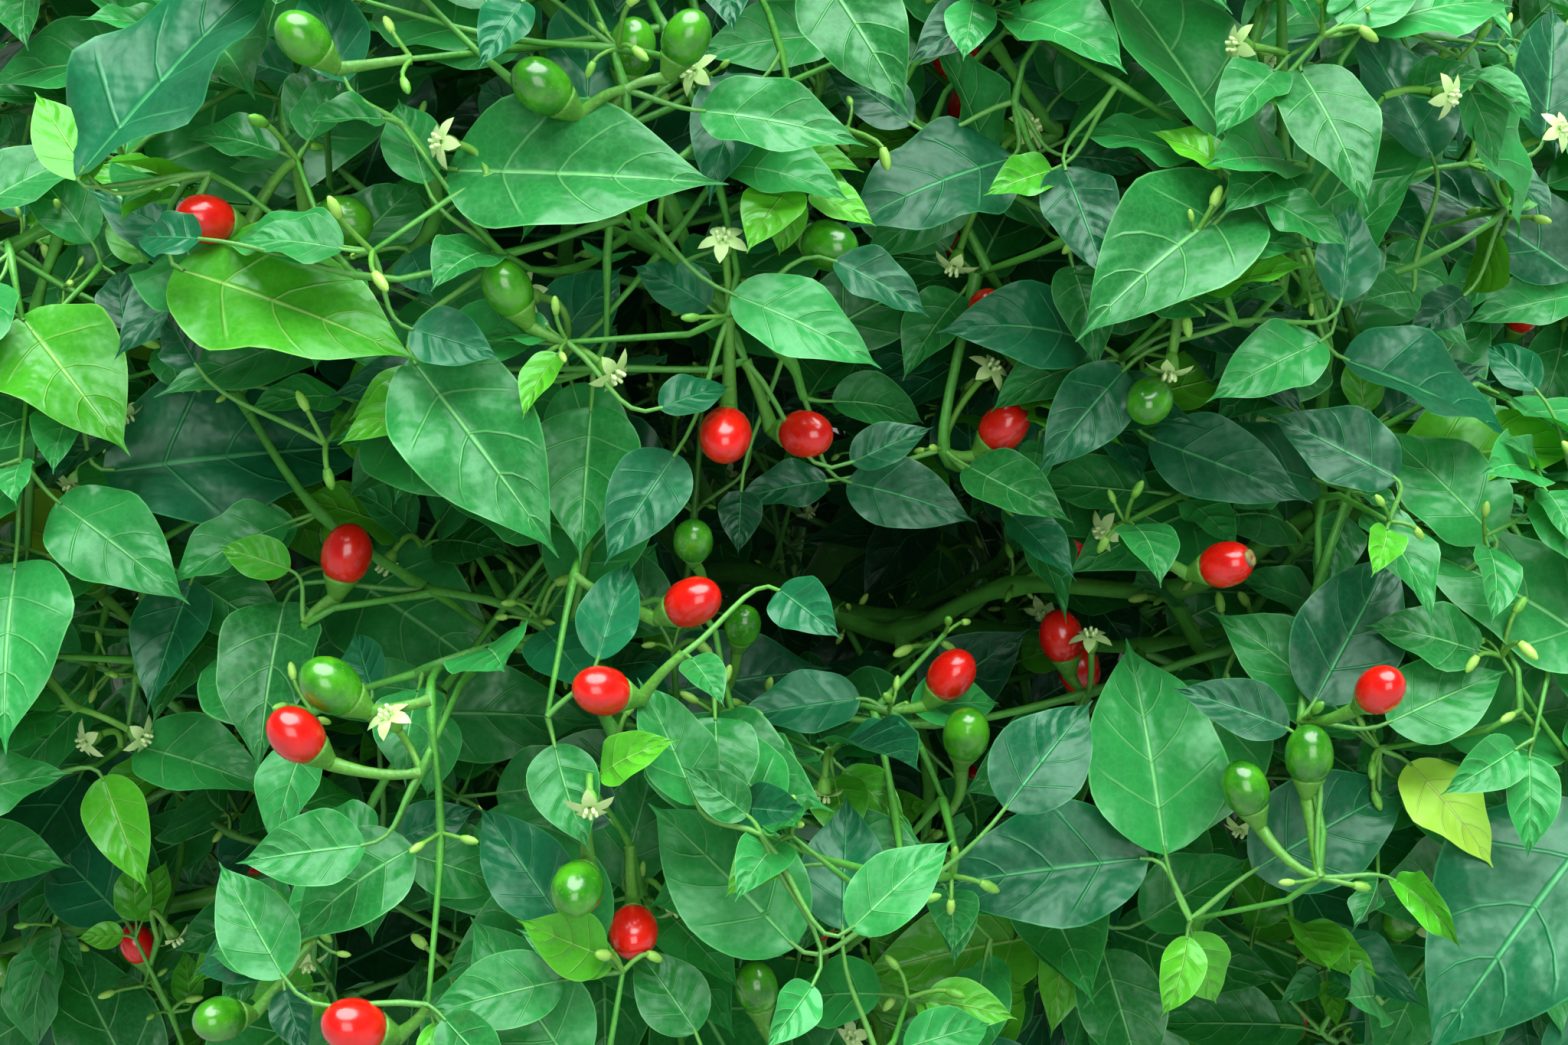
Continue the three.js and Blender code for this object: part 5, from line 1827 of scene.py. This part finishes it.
# Each heap's material: its kind and name, then its colours from 0 to 255 and its numbers
LOOKS = {
    "leaves_fresh": (leaf_material, "leaf", (14, 84, 32), (46, 152, 72), (128, 216, 126),
                     (60, 210, 50), 0.33),
    "leaves_deep": (leaf_material, "deep_leaf", (5, 42, 24), (22, 112, 70), (76, 172, 104),
                    (40, 165, 45), 0.35),
    "leaves_young": (leaf_material, "young_leaf", (42, 142, 26), (88, 188, 38), (162, 226, 110),
                     (110, 220, 40), 0.32),
    "leaves_yellow": (leaf_material, "yellow_leaf", (136, 212, 48), (176, 234, 76), (214, 240, 140),
                      (220, 230, 80), 0.45),
    "berries_ripe": (berry_material, "ripe_berry", (196, 12, 6), (226, 20, 8), (240, 70, 30)),
    "berries_green": (berry_material, "green_berry", (30, 112, 12), (70, 160, 24), (150, 205, 80)),
    "flowers": (petal_material, "petal", (150, 202, 104), (212, 240, 172), 0.5),
    "buds": (petal_material, "bud", (86, 166, 48), (158, 212, 92), 0.42),
    "leaf_tips": (petal_material, "dry_tip", (112, 98, 74), (206, 200, 84), 0.7),
    "stalks": (stem_material, "stalk", (44, 112, 30), (112, 182, 64), 0.0),
    "petioles": (stem_material, "petiole", (42, 116, 38), (106, 178, 74), 0.0),
    "twigs": (stem_material, "stem", (32, 104, 28), (90, 178, 62), 0.2),
    "boughs_bark": (stem_material, "green_bark", (40, 104, 30), (86, 168, 56), 0.35),
    "trunk_bark": (bark_material, "bark"),
}
MATERIALS = {heap: kind(name, *[linear(look) if isinstance(look, tuple) else look for look in looks])
             for heap, (kind, name, *looks) in LOOKS.items()}

foliage = [f"foliage_{mass['name']}" for mass in masses]
REPLACED = {
    "trunk_bark": ["trunk"],
    "boughs_bark": [bough["name"] for bough in boughs],
    "twigs": foliage,
}
for key, heap in heaps.items():
    look = "leaves_" + key[0] if isinstance(key, tuple) else heap.name
    if heap.count:
        heap.build(MATERIALS[look], REPLACED.get(heap.name, ()))


# Floor, light and camera

FLOOR_RADIUS = 8
SWEEP_RADIUS = 5
SWEEP_STEPS = 16
FLOOR_SIDES = 96
PLANT_MIDDLE = (0, -0.05, 0.3)
FLOOR_COLOURS = ((0.235, 0.234, 0.23, 1), (0.27, 0.268, 0.264, 1))
FLOOR_PATCHES = 160
FLOOR_ROUGHNESS = 0.85
SKY_PLACE = (0.15, 0.6, 2.6)
SKY_SPREAD = 64
SKY_STRENGTH = 8.0
SKY_COLOUR = (0.96, 1, 1)
FILL_PLACE = (0.3, -2.0, 1.9)
FILL_SIZE = 1.4
FILL_POWER = 27
FILL_COLOUR = (1, 0.99, 0.96)
WORLD_COLOUR = (0.86, 0.93, 1, 1)
WORLD_STRENGTH = 0.13
CLIP_START = 0.02
AIM_DISTANCE = 500


def add_floor():
    """A flat floor whose far rim sweeps up all round"""
    turns = np.linspace(0, math.pi / 2, SWEEP_STEPS)
    angles = np.arange(FLOOR_SIDES) * 2 * math.pi / FLOOR_SIDES
    reach = (FLOOR_RADIUS + SWEEP_RADIUS * np.sin(turns))[:, None]
    rise = (SWEEP_RADIUS * (1 - np.cos(turns)))[:, None] + 0 * angles
    rings = np.stack([reach * np.cos(angles), reach * np.sin(angles), rise], -1).reshape(-1, 3)
    mesh = bpy.data.meshes.new("floor")
    sweep = grid_faces(SWEEP_STEPS, FLOOR_SIDES, True)[:, ::-1]
    mesh.from_pydata(rings.tolist(), [], [list(range(FLOOR_SIDES))] + sweep.tolist())
    mesh.polygons.foreach_set("use_smooth", np.ones(len(mesh.polygons), dtype=bool))
    make = Maker("floor")
    colour = make.mix(make.noise(FLOOR_PATCHES), *FLOOR_COLOURS)
    mesh.materials.append(make.finish(colour, Roughness=FLOOR_ROUGHNESS))
    floor = bpy.data.objects.new("floor", mesh)
    bpy.context.scene.collection.objects.link(floor)


def aim(thing, place, target):
    """Puts a lamp or a camera at a place and turns it to look at a target"""
    thing.location = place
    way = np.array(target) - np.array(place)
    thing.rotation_euler = (math.atan2(math.hypot(way[0], way[1]), -way[2]), 0, math.atan2(-way[0], way[1]))
    bpy.context.scene.collection.objects.link(thing)


def add_lamp(name, kind, place, energy, colour, **more):
    """A lamp that looks at the plant"""
    lamp = bpy.data.lights.new(name, kind)
    lamp.energy = energy
    lamp.color = colour
    for what, value in more.items():
        setattr(lamp, what, value)
    aim(bpy.data.objects.new(name, lamp), place, PLANT_MIDDLE)


def add_world():
    """Faint even light from all round"""
    world = bpy.data.worlds.new("studio")
    world.use_nodes = True
    background = world.node_tree.nodes["Background"]
    background.inputs["Color"].default_value = WORLD_COLOUR
    background.inputs["Strength"].default_value = WORLD_STRENGTH
    bpy.context.scene.view_settings.view_transform = "Standard"
    bpy.context.scene.world = world


def add_camera():
    """The photograph's camera"""
    lens = bpy.data.cameras.new("camera")
    lens.sensor_width = SENSOR_WIDTH
    lens.lens = LENS
    lens.clip_start = CLIP_START
    camera = bpy.data.objects.new("camera", lens)
    aim(camera, tuple(CAMERA_PLACE * MM), tuple((CAMERA_PLACE + VIEW_WAY * AIM_DISTANCE) * MM))
    bpy.context.scene.camera = camera


add_floor()
add_lamp("sky", "SUN", SKY_PLACE, SKY_STRENGTH, SKY_COLOUR, angle=math.radians(SKY_SPREAD))
add_lamp("fill", "AREA", FILL_PLACE, FILL_POWER, FILL_COLOUR, size=FILL_SIZE)
add_world()
add_camera()
